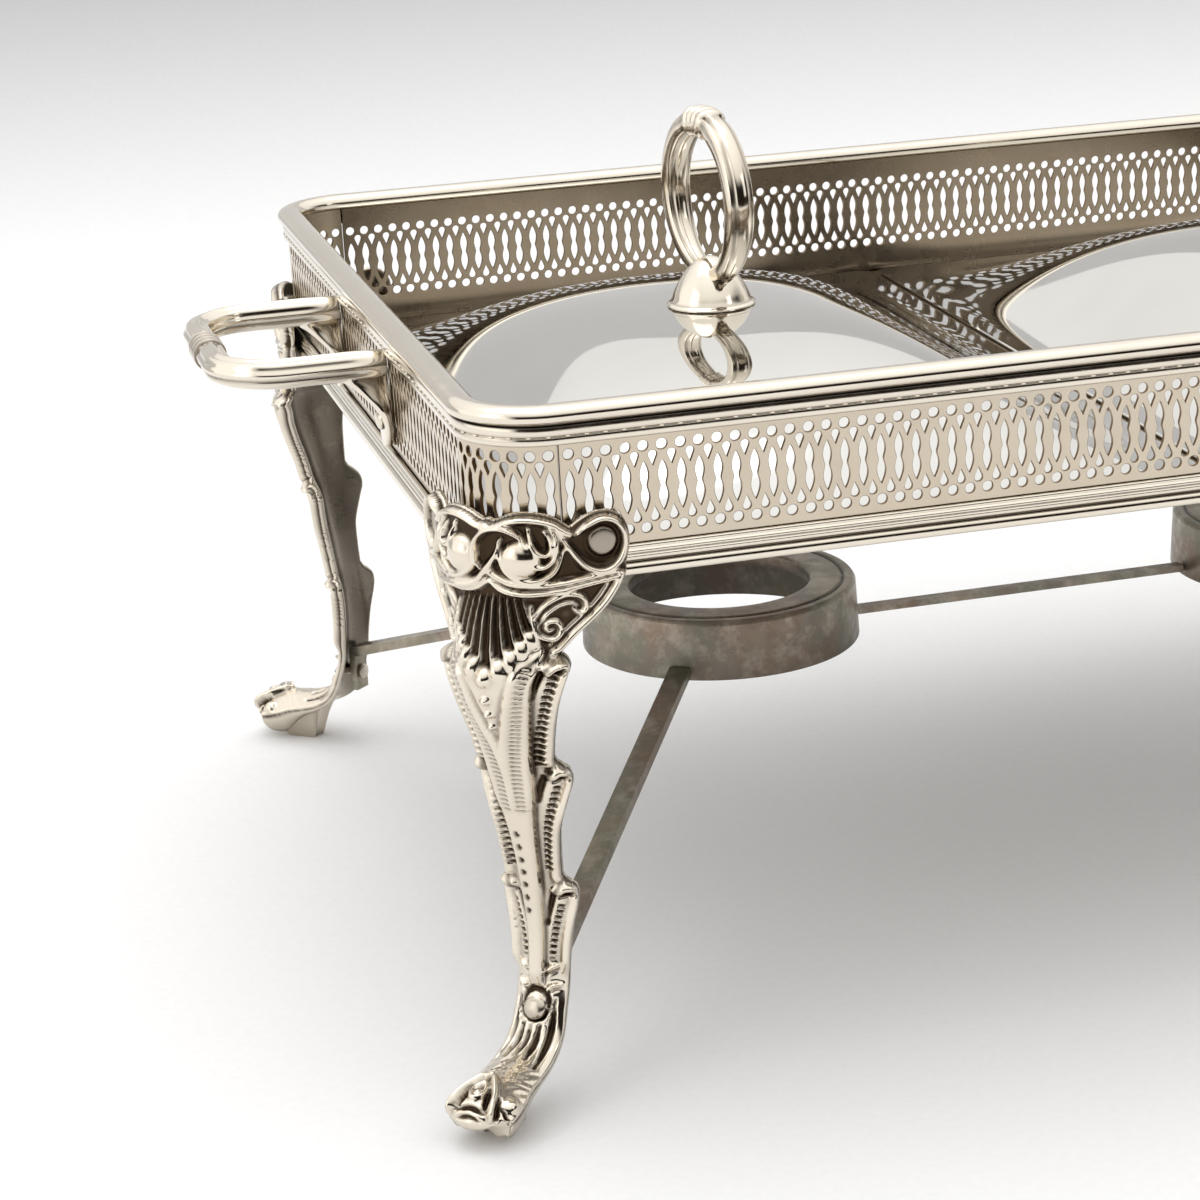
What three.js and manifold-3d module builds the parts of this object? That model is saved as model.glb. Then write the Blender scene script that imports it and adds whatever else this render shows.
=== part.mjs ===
// Twin chafing dish stand: a pierced gallery on four cast legs, two burner rings and two domed lids.
// Millimetres, +Z up, X along the length. The origin is on the floor, midway between the four feet.
import * as THREE from "three";
import Module from "manifold-3d";
import { mergeVertices } from "three/addons/utils/BufferGeometryUtils.js";

const wasm = await Module();
wasm.setup();

// Driving dimensions
const BODY_LENGTH = 393; // outside of the gallery band
const BODY_WIDTH = 296;
const CORNER_RADIUS = 20;
const BAND_THICKNESS = 1.2;
const LEDGE_HEIGHT = 139.2; // top of the inner ledge above the floor, which sets the length of the legs
const LEDGE_THICKNESS = 1.2;
const LEDGE_WIDTH = 9.5;
const BOTTOM_RIM_HEIGHT = 7.5;
const GALLERY_RISE = 37.5; // top of the band above the ledge
const RIM_CROWN = 4.5; // height of the top moulding above the band
const RIM_STRIP = 4.8; // reeded strip that hangs below it, outside the band
const RIM_OUTSIDE = 2.7; // how far the crown stands out from the band's outside
const RIM_INSIDE = 4.9; // and how far it reaches in
const SLOT_ROW_RISE = 20.3; // middle of the long slots above the ledge
const SLOT_HEIGHT = 12.4;
const SLOT_WIDTH = 3.1;
const SLOT_PITCH = 4.6; // rounded to a whole number of slots on each side
const CORNER_SLOTS = 7;
const CLEARANCE = 0.3; // between pieces that touch

const KNEE_HALF_WIDTH = 33; // along the plate, from the middle of the corner
const PLATE_THICKNESS = 2.4;
const LEG_WALL = 2.2;
const TOE_REACH = 55.5; // front of the toe from the axis of the corner
const STUD_RISE = 10.3; // above the ledge
const STUD_RADIUS = 1.4;
const NUT_RADIUS = 4.2;
const NUT_HEIGHT = 5.2;

const RING_HOLE_RADIUS = 26.5;
const RING_RADIUS = 40;
const RING_HEIGHT = 85.6; // top of the burner rings above the floor
const RING_DEPTH = 17.4;
const RING_SHEET = 1.5;
const RING_SPACING = 187.5;
const RING_SHIFT = -3.75; // the pair sits slightly to the left of the middle
const BAR_WIDTH = 6;
const BAR_THICKNESS = 3;
const TAB_RIVET_HEIGHT = 25.5;
const TAB_RIVET_RADIUS = 1.3;
const TAB_FACE = 12.4; // front of the bar's tab, from the axis of the corner
const TAB_SHEET = 2.4;

const LID_SHEET = 1.0;
const LID_FLANGE = 4.5;
const LID_RISE = 27; // from the flange to the top of the dome
const LID_SIDE_GAP = 0.5; // inside the top rim, so that a lid lifts straight out
const LID_SEAM = 2.5; // gap between the two lids
const LID_CORNER = 30;
const BELL_RADIUS = 12.6;
const BELL_HEIGHT = 13.6;
const GRIP_RADIUS = 21.5; // middle line of the ring handle
const GRIP_TUBE = 4.5;
const GRIP_CENTRE = 30; // above the lid
const GRIP_TURN = 8.3; // degrees

const HANDLE_ARM_Y = 36.2;
const HANDLE_RISE = 29.8; // middle of the arms above the ledge
const HANDLE_REACH = 43; // middle line of the tube from the band
const HANDLE_BEND = 17;
const HANDLE_TUBE = 3.9;
const TAB_WIDTH = 12.5;
const TAB_THICKNESS = 2;
const TAB_DROP = 22.5; // from the middle of the arm to the bottom of the tab
const HANDLE_RIVET_RISE = 14.8;
const HANDLE_RIVET_RADIUS = 1.3;

// Worked out from them
const HALF_X = BODY_LENGTH / 2;
const HALF_Y = BODY_WIDTH / 2;
const AXIS_X = HALF_X - CORNER_RADIUS; // axes of the rounded corners
const AXIS_Y = HALF_Y - CORNER_RADIUS;
const bandTop = LEDGE_HEIGHT + GALLERY_RISE;
const slotRow = LEDGE_HEIGHT + SLOT_ROW_RISE;
const studHeight = LEDGE_HEIGHT + STUD_RISE;
const handleHeight = LEDGE_HEIGHT + HANDLE_RISE;
const handleRivetHeight = LEDGE_HEIGHT + HANDLE_RIVET_RISE;
const STRIP_OUTSIDE = 1.4; // moulded strips stand this far outside the band
const BOTTOM_BEAD = 1.9; // the bottom bead is the widest part of the bottom rim

// Finishes
const plated = new THREE.MeshStandardMaterial({ color: 0xd8cdb8, roughness: 0.22, metalness: 1 });
const castPlate = new THREE.MeshStandardMaterial({ color: 0xcdc2ab, roughness: 0.3, metalness: 1 });
const tarnished = new THREE.MeshStandardMaterial({ color: 0x5c544c, roughness: 0.45, metalness: 0.9 });
const mirrorSteel = new THREE.MeshStandardMaterial({ color: 0xd2d2d0, roughness: 0.05, metalness: 1 });

const v3 = (x, y, z) => new THREE.Vector3(x, y, z);
const stand = new THREE.Group();

function add(name, geometry, material, parent = stand) {
  geometry.computeVertexNormals();
  const mesh = new THREE.Mesh(geometry, material);
  mesh.name = name;
  parent.add(mesh);
  return mesh;
}

// Solids of the boolean library and back
function toSolid(geometry) {
  const bare = geometry.clone();
  bare.deleteAttribute("normal");
  bare.deleteAttribute("uv");
  const merged = mergeVertices(bare, 1e-4);
  return new wasm.Manifold(
    new wasm.Mesh({
      numProp: 3,
      vertProperties: merged.attributes.position.array,
      triVerts: new Uint32Array(merged.index.array),
    }),
  );
}

function fromSolid(solid) {
  const mesh = solid.getMesh();
  return new THREE.BufferGeometry()
    .setAttribute("position", new THREE.BufferAttribute(mesh.vertProperties, 3))
    .setIndex(new THREE.BufferAttribute(mesh.triVerts, 1));
}

// A triangle list from points and faces, turned so that the faces point out
function closedGeometry(points, faces) {
  const a = v3(), b = v3(), c = v3();
  let volume = 0;
  for (const [i, j, k] of faces) {
    volume += a.copy(points[i]).dot(b.copy(points[j]).cross(c.copy(points[k])));
  }
  const index = volume < 0 ? faces.map(([i, j, k]) => [i, k, j]) : faces;
  return new THREE.BufferGeometry().setFromPoints(points).setIndex(index.flat());
}

// Joins sections with the same number of points: a tube with flat ends, or a ring when closed
function loft(sections, closed = false) {
  const n = sections[0].length;
  const faces = [];
  const rows = closed ? sections.length : sections.length - 1;
  for (let r = 0; r < rows; r++) {
    const low = r * n;
    const high = ((r + 1) % sections.length) * n;
    for (let i = 0; i < n; i++) {
      const next = (i + 1) % n;
      faces.push([low + i, low + next, high + next], [low + i, high + next, high + i]);
    }
  }
  if (!closed) {
    const last = (sections.length - 1) * n;
    for (let i = 0, j = n - 1; i + 1 < j; i++, j--) {
      faces.push([i, j, i + 1], [last + i, last + i + 1, last + j]);
      if (i + 1 < j - 1) faces.push([i + 1, j, j - 1], [last + i + 1, last + j - 1, last + j]);
    }
  }
  return closedGeometry(sections.flat(), faces);
}

// A plan outline pushed out from the band's outside by a distance, with the facets of the band's corners
function outline(offset, z) {
  const points = [];
  const radius = CORNER_RADIUS + offset;
  [[1, 1], [-1, 1], [-1, -1], [1, -1]].forEach(([sx, sy], quarter) => {
    for (let i = 0; i <= CORNER_SLOTS; i++) {
      const a = (quarter + i / CORNER_SLOTS) * (Math.PI / 2);
      points.push(v3(sx * AXIS_X + radius * Math.cos(a), sy * AXIS_Y + radius * Math.sin(a), z));
    }
  });
  return points;
}

const frame = (profile) => loft(profile.map(([offset, z]) => outline(offset, z)), true);

// Pierced gallery band
// A wall that follows flat facets in plan, with holes given along the facet and by height
function piercedWall(path, holesOf) {
  const low = LEDGE_HEIGHT + CLEARANCE;
  const points = [];
  const faces = [];
  const put = (...corners) => {
    const start = points.push(...corners) - corners.length;
    faces.push([start, start + 1, start + 2]);
    if (corners.length === 4) faces.push([start, start + 2, start + 3]);
  };
  path.slice(0, -1).forEach((from, k) => {
    const to = path[k + 1];
    const length = from.outer.distanceTo(to.outer);
    const side = (key, p) => {
      const q = from[key].clone().lerp(to[key], p.x / length);
      return v3(q.x, q.y, p.y);
    };
    const rectangle = [[0, low], [length, low], [length, bandTop], [0, bandTop]];
    const contour = rectangle.map((p) => new THREE.Vector2(...p));
    const holes = holesOf(k, length).map((hole) => hole.map((p) => new THREE.Vector2(...p)));
    const flat = [contour, ...holes].flat();
    for (const [i, j, m] of THREE.ShapeUtils.triangulateShape(contour, holes)) {
      put(side("outer", flat[i]), side("outer", flat[j]), side("outer", flat[m]));
      put(side("inner", flat[i]), side("inner", flat[m]), side("inner", flat[j]));
    }
    const edges = [[contour[0], contour[1]], [contour[2], contour[3]]];
    if (k === 0) edges.push([contour[3], contour[0]]);
    if (k === path.length - 2) edges.push([contour[1], contour[2]]);
    for (const hole of holes) hole.forEach((p, i) => edges.push([p, hole[(i + 1) % hole.length]]));
    for (const [p, q] of edges) put(side("outer", p), side("inner", p), side("inner", q), side("outer", q));
  });
  return closedGeometry(points, faces);
}

const slot = (s) => [
  [s, slotRow + SLOT_HEIGHT / 2],
  [s + SLOT_WIDTH / 2, slotRow],
  [s, slotRow - SLOT_HEIGHT / 2],
  [s - SLOT_WIDTH / 2, slotRow],
];

const roundHole = (s, z, radius) =>
  [0, 1, 2, 3, 4, 5].map((i) => [
    s + radius * Math.sin((i * Math.PI) / 3),
    z + radius * Math.cos((i * Math.PI) / 3),
  ]);

// A straight length between two rounded corners, square to one of the axes
function straightLength(name, turn, half, across, rivets = []) {
  const reach = half - CLEARANCE / 2;
  const middle = new THREE.Vector2();
  const along = (s, offset) => new THREE.Vector2(s, -(across - offset)).rotateAround(middle, turn);
  const path = [-reach, reach].map((s) => ({ outer: along(s, 0), inner: along(s, BAND_THICKNESS) }));
  const count = Math.round((2 * half) / SLOT_PITCH);
  const pitch = (2 * half) / count;
  const holes = [];
  for (let i = 0; i < count; i++) {
    const s = (i + 0.5) * pitch - half;
    if (rivets.every((r) => Math.abs(s - r) > pitch)) holes.push(slot(s + reach));
  }
  for (const r of rivets) holes.push(roundHole(r + reach, handleRivetHeight, HANDLE_RIVET_RADIUS + 0.4));
  add(name, piercedWall(path, () => holes), plated);
}

straightLength("gallery_front", 0, AXIS_X, HALF_Y);
straightLength("gallery_right", Math.PI / 2, AXIS_Y, HALF_X, [-HANDLE_ARM_Y, HANDLE_ARM_Y]);
straightLength("gallery_back", Math.PI, AXIS_X, HALF_Y);
straightLength("gallery_left", -Math.PI / 2, AXIS_Y, HALF_X, [-HANDLE_ARM_Y, HANDLE_ARM_Y]);

// The four corners, in the order of a walk round the stand
const CORNERS = [
  { name: "front_left", sx: -1, sy: -1 },
  { name: "front_right", sx: 1, sy: -1 },
  { name: "back_right", sx: 1, sy: 1 },
  { name: "back_left", sx: -1, sy: 1 },
];

for (const { name, sx, sy } of CORNERS) {
  const start = Math.atan2(sy, sx) - Math.PI / 4;
  const trim = CLEARANCE / 2 / CORNER_RADIUS;
  const path = [];
  for (let i = 0; i <= CORNER_SLOTS; i++) {
    const a = start + trim + (i / CORNER_SLOTS) * (Math.PI / 2 - 2 * trim);
    const at = (r) => new THREE.Vector2(sx * AXIS_X + r * Math.cos(a), sy * AXIS_Y + r * Math.sin(a));
    path.push({ outer: at(CORNER_RADIUS), inner: at(CORNER_RADIUS - BAND_THICKNESS) });
  }
  const middle = (CORNER_SLOTS - 1) / 2;
  const holesOf = (k, length) =>
    k === middle
      ? [slot(length / 2), roundHole(length / 2, studHeight, STUD_RADIUS + 0.5)]
      : [slot(length / 2)];
  add("gallery_corner_" + name, piercedWall(path, holesOf), plated);
}

// Rims
const rimBase = bandTop + CLEARANCE;
const crown = rimBase + RIM_CROWN;
add(
  "top_rim",
  frame([
    [CLEARANCE, bandTop - RIM_STRIP],
    [STRIP_OUTSIDE, bandTop - RIM_STRIP],
    [STRIP_OUTSIDE, rimBase],
    [RIM_OUTSIDE, rimBase + 1.2],
    [RIM_OUTSIDE - 0.2, crown - 1.2],
    [RIM_OUTSIDE - 2.3, crown],
    [2.3 - RIM_INSIDE, crown],
    [-RIM_INSIDE, crown - 1.4],
    [0.4 - RIM_INSIDE, rimBase + 0.5],
    [CLEARANCE, rimBase],
  ]),
  plated,
);

const ledgeBottom = LEDGE_HEIGHT - LEDGE_THICKNESS;
const bottomRimTop = ledgeBottom + BOTTOM_RIM_HEIGHT;
add(
  "bottom_rim",
  frame([
    [1.5, ledgeBottom],
    [BOTTOM_BEAD, ledgeBottom + 1.3],
    [1.6, ledgeBottom + 2.7],
    [1.0, ledgeBottom + 3.3],
    [1.7, ledgeBottom + 4.3],
    [1.4, bottomRimTop],
    [CLEARANCE, bottomRimTop],
    [CLEARANCE, LEDGE_HEIGHT],
    [-LEDGE_WIDTH, LEDGE_HEIGHT],
    [-LEDGE_WIDTH, ledgeBottom],
  ]),
  plated,
);

// A flat bar under the seam of the lids, level with the ledge and lapped under it at both ends
{
  const width = 16;
  const inside = HALF_Y - LEDGE_WIDTH - CLEARANCE;
  const lap = 7;
  const step = LEDGE_THICKNESS + CLEARANCE;
  const half = [
    [inside, LEDGE_HEIGHT],
    [inside, LEDGE_HEIGHT - step],
    [inside + lap, LEDGE_HEIGHT - step],
    [inside + lap, LEDGE_HEIGHT - step - LEDGE_THICKNESS],
    [inside - LEDGE_THICKNESS, LEDGE_HEIGHT - step - LEDGE_THICKNESS],
    [inside - LEDGE_THICKNESS, LEDGE_HEIGHT - LEDGE_THICKNESS],
  ];
  const side = [...half, ...half.map(([y, z]) => [-y, z]).reverse()];
  const shape = new THREE.Shape(side.map((p) => new THREE.Vector2(...p)));
  const bar = new THREE.ExtrudeGeometry(shape, { depth: width, bevelEnabled: false });
  bar.rotateX(Math.PI / 2).rotateZ(Math.PI / 2).translate(-width / 2, 0, 0);
  add("centre_bar", bar, plated);
}

// Legs
// Drawn in the plane of the corner's diagonal: x outwards from the axis of the corner, y to the side
// Points across the leg, as shares of its half width
const SPREAD = [-1, -0.75, -0.5, -0.25, 0, 0.25, 0.5, 0.75, 1];
const kneeBack = CORNER_RADIUS + BOTTOM_BEAD + CLEARANCE;
// The knee plate's flats clear the rim, so its round face lies a little further out
const PLATE_RADIUS = kneeBack / Math.cos(KNEE_HALF_WIDTH / 8 / kneeBack) + PLATE_THICKNESS;
const ANKLE_HEIGHT = 33;

// Levels of the knee hang from the ledge, and those of the shaft are shares of what is left above the ankle
const knee = (rise) => LEDGE_HEIGHT + rise;
const PLATE_TOP = knee(19.3);
const PLATE_BOTTOM = knee(-18.2);
const shaft = (share) => THREE.MathUtils.lerp(ANKLE_HEIGHT, PLATE_BOTTOM, share);

// The front of the leg seen from the side: distance outwards and height
const legFront = new THREE.SplineCurve(
  [
    [PLATE_RADIUS, PLATE_TOP],
    [PLATE_RADIUS, knee(7.8)],
    [PLATE_RADIUS - 0.1, knee(-3.2)],
    [23.2, shaft(0.955)],
    [19.3, shaft(0.75)],
    [16.6, shaft(0.51)],
    [14.5, shaft(0.31)],
    [14.1, shaft(0.14)],
    [16.2, ANKLE_HEIGHT],
    [21.4, 20.5],
    [30, 14.6],
    [41, 13.4],
    [50.5, 10.5],
    [TOE_REACH, 5],
  ].map((p) => new THREE.Vector2(...p)),
);

// Leaf tips that stand out of the sides of the shaft, as shares of its height
const LEAVES = [
  { tip: 0.97, flare: 6.2 },
  { tip: 0.63, flare: 4.3 },
  { tip: 0.277, flare: 3.2 },
];
const LEAF_LENGTH = 0.295;

// Half of the width, measured along the curved plate
function legHalfWidth(z) {
  if (z > PLATE_BOTTOM) {
    const drop = THREE.MathUtils.clamp((knee(5.8) - z) / (knee(5.8) - PLATE_BOTTOM), 0, 1);
    return THREE.MathUtils.lerp(KNEE_HALF_WIDTH, 12.6, drop ** 1.45);
  }
  const share = THREE.MathUtils.inverseLerp(ANKLE_HEIGHT, PLATE_BOTTOM, z);
  let half = THREE.MathUtils.lerp(8.3, 11.5, share);
  for (const { tip, flare } of LEAVES) {
    const along = (share - tip) / LEAF_LENGTH + 1;
    if (along > 0 && along <= 1.001) half += flare * along ** 2.2;
  }
  return half;
}

// Radius of the bowed section: the corner's at the knee, tighter down the shaft
const legBow = (z) => {
  const share = THREE.MathUtils.smoothstep(z, shaft(0.72), knee(-5));
  return THREE.MathUtils.lerp(10.5, PLATE_RADIUS, share);
};

// A point of the bowed section: a quarter round that runs out into straight wings
function bowed(u, radius, wall) {
  const limit = (radius * Math.PI) / 4;
  const a = Math.min(Math.abs(u), limit) / radius;
  const wing = Math.max(Math.abs(u) - limit, 0);
  const r = radius - wall;
  return {
    side: Math.sign(u) * (r * Math.sin(a) + wing * Math.SQRT1_2),
    depth: radius - r * Math.cos(a) + wing * Math.SQRT1_2,
  };
}

function curveAtHeight(curve, z) {
  let low = 0;
  let high = 1;
  for (let i = 0; i < 30; i++) {
    const mid = (low + high) / 2;
    if (curve.getPoint(mid).y > z) low = mid;
    else high = mid;
  }
  return low;
}

function legStations() {
  const stations = [];
  const level = (z, scallop = false) => {
    const t = curveAtHeight(legFront, z);
    const wall = z > PLATE_BOTTOM ? PLATE_THICKNESS : LEG_WALL;
    stations.push({ t, half: legHalfWidth(z), bow: legBow(z), wall, scallop });
  };
  level(PLATE_TOP - 0.5, true);
  for (const rise of [5.8, -3.2, -11.2]) level(knee(rise));
  level(PLATE_BOTTOM - 0.4);
  LEAVES.forEach(({ tip }, i) => {
    if (i > 0) level(shaft(tip + 0.014));
    for (const drop of [0, 0.1]) level(shaft(tip - drop));
  });
  level(ANKLE_HEIGHT + 2);
  // The foot: solid, so the back leaves the bowed wall, carries the bar's tab and runs down to the sole
  const toe = curveAtHeight(legFront, ANKLE_HEIGHT);
  const heel = TAB_FACE + CLEARANCE;
  [
    { at: 0.14, half: 8, back: [heel, 29.5] },
    { at: 0.34, half: 7.6, back: [heel, 18.5] },
    { at: 0.52, half: 8, back: [19.5, 8] },
    { at: 0.7, half: 9.6, back: [33, 0] },
    { at: 0.87, half: 9.4, back: [46, 0] },
    { at: 1, half: 5.6, back: [52.5, 0] },
  ].forEach(({ at, half, back }) => stations.push({ t: toe + (1 - toe) * at, half, bow: 10.5, back }));
  return stations;
}

function legGeometry() {
  const scallops = [-7, -1, -5, -0.5, -3.2, -0.5, -5, -1, -7]; // volutes and arches of the top edge
  const sections = legStations().map(({ t, half, bow, wall, back: heel, scallop }) => {
    const p = legFront.getPoint(t);
    const tangent = legFront.getTangent(t);
    const place = (side, depth, rise = 0) =>
      v3(p.x + tangent.y * depth, side, Math.max(p.y - tangent.x * depth + rise, 0));
    const front = SPREAD.map((j, i) => {
      const q = bowed(j * half, bow, 0);
      return place(q.side, q.depth, scallop ? scallops[i] : 0);
    });
    const back = SPREAD.map((j, i) => {
      if (heel) return v3(heel[0], bowed(j * half, bow, 0).side * 0.86, heel[1]);
      const q = bowed(j * half, bow, wall);
      return place(q.side, q.depth, scallop ? scallops[i] : 0);
    });
    return [...front, ...back.reverse()];
  });
  return loft(sections);
}

// A cylinder along x from one distance to another
function barrel(radius, from, to, z, sides = 8) {
  const shape = new THREE.CylinderGeometry(radius, radius, to - from, sides);
  return shape.rotateZ(-Math.PI / 2).translate((from + to) / 2, 0, z);
}

// The rim of the nut meets the curved inside of the band, so its face sits deeper by the curve's rise
const bandInside = CORNER_RADIUS - BAND_THICKNESS;
const nutSeat = Math.sqrt(bandInside ** 2 - NUT_RADIUS ** 2) - 1.5 * CLEARANCE;
const nutTip = nutSeat - NUT_HEIGHT;
const studTip = nutTip + 1.8;
const plateBack = PLATE_RADIUS - PLATE_THICKNESS;
const legSolid = toSolid(legGeometry())
  .add(toSolid(barrel(STUD_RADIUS, studTip, plateBack + 1, studHeight, 6)))
  .subtract(toSolid(barrel(TAB_RIVET_RADIUS + 0.3, 0, 40, TAB_RIVET_HEIGHT, 6)));

const RIVET_HEAD_RADIUS = 3.5;
// The head seats on what stands out furthest under it
const rivetGround = legSolid.intersect(toSolid(barrel(RIVET_HEAD_RADIUS, TAB_FACE, 40, TAB_RIVET_HEIGHT)));
const rivetSeat = rivetGround.boundingBox().max[0] + CLEARANCE;

// A fastener turned about the x axis: its profile runs from the outer end to the inner one
function turned(profile, sides = 8) {
  const points = profile.map(([x, r]) => new THREE.Vector2(r, x)).reverse();
  return new THREE.LatheGeometry(points, sides).rotateZ(-Math.PI / 2);
}

const ringX = { left: RING_SHIFT - RING_SPACING / 2, right: RING_SHIFT + RING_SPACING / 2 };
const barRise = RING_HEIGHT - RING_DEPTH + BAR_THICKNESS / 2 + 1;

for (const { name, sx, sy } of CORNERS) {
  const corner = new THREE.Group();
  corner.position.set(sx * AXIS_X, sy * AXIS_Y, 0);
  corner.rotation.z = Math.atan2(sy, sx);
  stand.add(corner);
  add("leg_" + name, fromSolid(legSolid), castPlate, corner);

  const nut = turned([
    [studTip - CLEARANCE, 0],
    [studTip - CLEARANCE, STUD_RADIUS + 0.3],
    [nutSeat, STUD_RADIUS + 0.3],
    [nutSeat, NUT_RADIUS],
    [nutSeat - 1.8, NUT_RADIUS],
    [nutTip + 0.8, 0.6 * NUT_RADIUS],
    [nutTip, 0],
  ]);
  add("leg_nut_" + name, nut.translate(0, 0, studHeight), plated, corner);

  const rivet = turned([
    [rivetSeat + 2, 0],
    [rivetSeat + 1.3, 2.4],
    [rivetSeat, RIVET_HEAD_RADIUS],
    [rivetSeat, TAB_RIVET_RADIUS],
    [TAB_FACE - TAB_SHEET - CLEARANCE, TAB_RIVET_RADIUS],
    [TAB_FACE - TAB_SHEET - CLEARANCE, 2.3],
    [TAB_FACE - TAB_SHEET - 1.3, 0],
  ], 6);
  add("leg_rivet_" + name, rivet.translate(0, 0, TAB_RIVET_HEIGHT), tarnished, corner);

  // Bar from the skirt of the ring to the back of the leg, with a tab bent down along the leg
  const cx = sx < 0 ? ringX.left : ringX.right;
  corner.updateMatrixWorld(true);
  const local = (point) => corner.worldToLocal(point);
  const bend = v3(TAB_FACE - TAB_SHEET / 2, 0, TAB_RIVET_HEIGHT + 7);
  const towards = corner.localToWorld(bend.clone()).sub(v3(cx, 0, 0)).setZ(0).normalize();
  const reach = RING_RADIUS + 0.8 + CLEARANCE;
  const start = local(v3(cx, 0, barRise).addScaledVector(towards, reach));
  const across = local(v3(cx, 0, barRise).add(v3(-towards.y, towards.x, 0))).sub(local(v3(cx, 0, barRise)));
  const strip = (centre, sideways, outwards) =>
    [[1, 1], [1, -1], [-1, -1], [-1, 1]].map(([w, n]) =>
      centre.clone().addScaledVector(sideways, (w * BAR_WIDTH) / 2).addScaledVector(outwards, n));
  const tabEnd = v3(TAB_FACE - TAB_SHEET / 2, 0, TAB_RIVET_HEIGHT - 6);
  const bar = loft([
    strip(start, across, v3(0, 0, BAR_THICKNESS / 2)),
    strip(bend, v3(0, 1, 0), v3(TAB_SHEET / 2, 0, 1.3)),
    strip(tabEnd, v3(0, 1, 0), v3(TAB_SHEET / 2, 0, 0)),
  ]);
  const pierced = toSolid(bar).subtract(
    toSolid(barrel(TAB_RIVET_RADIUS + 0.3, 0, 40, TAB_RIVET_HEIGHT, 6)),
  );
  add("ring_bar_" + name, fromSolid(pierced), tarnished, corner);
}

// Burner rings
for (const [side, x] of Object.entries(ringX)) {
  const top = RING_HEIGHT;
  const profile = [
    [RING_HOLE_RADIUS, top - 0.8],
    [RING_HOLE_RADIUS, top - 4],
    [RING_HOLE_RADIUS + RING_SHEET, top - 4],
    [RING_HOLE_RADIUS + RING_SHEET, top - RING_SHEET],
    [RING_RADIUS - 1.7, top - RING_SHEET],
    [RING_RADIUS - 0.8, top - RING_DEPTH],
    [RING_RADIUS + 0.7, top - RING_DEPTH],
    [RING_RADIUS, top - 1],
    [RING_RADIUS - 1, top],
    [RING_RADIUS - 3, top],
    [RING_RADIUS - 3.7, top - 0.5],
    [RING_RADIUS - 4.4, top],
    [RING_HOLE_RADIUS + 0.8, top],
  ];
  const points = [...profile, profile[0]].map((p) => new THREE.Vector2(...p));
  const ring = new THREE.LatheGeometry(points, 20);
  ring.rotateX(Math.PI / 2);
  add("burner_ring_" + side, ring.translate(x, 0, 0), tarnished);
}

{
  const gap = RING_RADIUS + 0.8 + CLEARANCE;
  const length = RING_SPACING - 2 * gap;
  const bar = new THREE.BoxGeometry(length, 4, 2).translate(RING_SHIFT, 0, barRise);
  add("ring_link_bar", bar, tarnished);
}

// Lids
const lidFlangeBottom = LEDGE_HEIGHT + CLEARANCE;
const lidTop = lidFlangeBottom + LID_SHEET + LID_RISE;
const lidOuter = HALF_X - RIM_INSIDE - LID_SIDE_GAP;
const lidHalf = { x: (lidOuter - LID_SEAM / 2) / 2, y: HALF_Y - RIM_INSIDE - LID_SIDE_GAP };
const lidCentre = (lidOuter + LID_SEAM / 2) / 2;
const SCREW_RADIUS = 1.6;
// Corners at the end of the stand, round enough for the lid to lift past the nuts inside the gallery
const lidInset = lidOuter - AXIS_X;
const pastNuts = (lidInset * Math.SQRT2 - (nutTip - LID_SIDE_GAP)) / (Math.SQRT2 - 1);
const lidCorner = Math.max(LID_CORNER, pastNuts);

// Plan outline of one lid: large corners at the end of the stand, small ones at the seam
function lidPlan() {
  const points = [];
  const corners = [[1, 1, 3, 2], [-1, 1, lidCorner, 4], [-1, -1, lidCorner, 4], [1, -1, 3, 2]];
  corners.forEach(([sx, sy, radius, steps], quarter) => {
    for (let i = 0; i <= steps; i++) {
      const a = (quarter + i / steps) * (Math.PI / 2);
      const x = sx * (lidHalf.x - radius) + radius * Math.cos(a);
      points.push(new THREE.Vector2(x, sy * (lidHalf.y - radius) + radius * Math.sin(a)));
    }
    const next = corners[(quarter + 1) % 4];
    const last = points[points.length - 1];
    const [nx, ny, nr] = next;
    const a = (quarter + 1) * (Math.PI / 2);
    const ahead = new THREE.Vector2(nx * (lidHalf.x - nr), ny * (lidHalf.y - nr));
    ahead.add(new THREE.Vector2(nr * Math.cos(a), nr * Math.sin(a)));
    for (const f of [1 / 3, 2 / 3]) points.push(last.clone().lerp(ahead, f));
  });
  return points;
}

// Dome height from its rim, s = 1, to the middle, s = 0: an ogee that ends level at both
const domeRise = (s) => (LID_RISE / 2) * (1 + Math.cos(Math.PI * s ** 1.8));

function lidGeometry() {
  const plan = lidPlan();
  const A = lidHalf.x - LID_FLANGE;
  const B = lidHalf.y - LID_FLANGE;
  const ring = (s, z) => {
    const power = 2.3 + 7 * s ** 3;
    return plan.map((p) => {
      const k = (Math.abs(p.x / A) ** power + Math.abs(p.y / B) ** power) ** (-1 / power);
      return v3(p.x * k * s, p.y * k * s, z);
    });
  };
  const hole = (z) => plan.map((p) => v3(p.x, p.y * (A / B), 0).setLength(SCREW_RADIUS + 0.9).setZ(z));
  const flange = (z) => plan.map((p) => v3(p.x, p.y, z));
  const steps = [1, 0.85, 0.65, 0.4];
  const base = lidFlangeBottom;
  const upper = steps.map((s) => ring(s, base + LID_SHEET + domeRise(s)));
  const lower = steps.map((s) => ring(s, base + domeRise(s)));
  return loft([
    flange(base + LID_SHEET),
    ...upper,
    hole(lidTop),
    hole(lidTop - LID_SHEET),
    ...lower.reverse(),
    flange(base),
  ], true);
}

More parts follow.
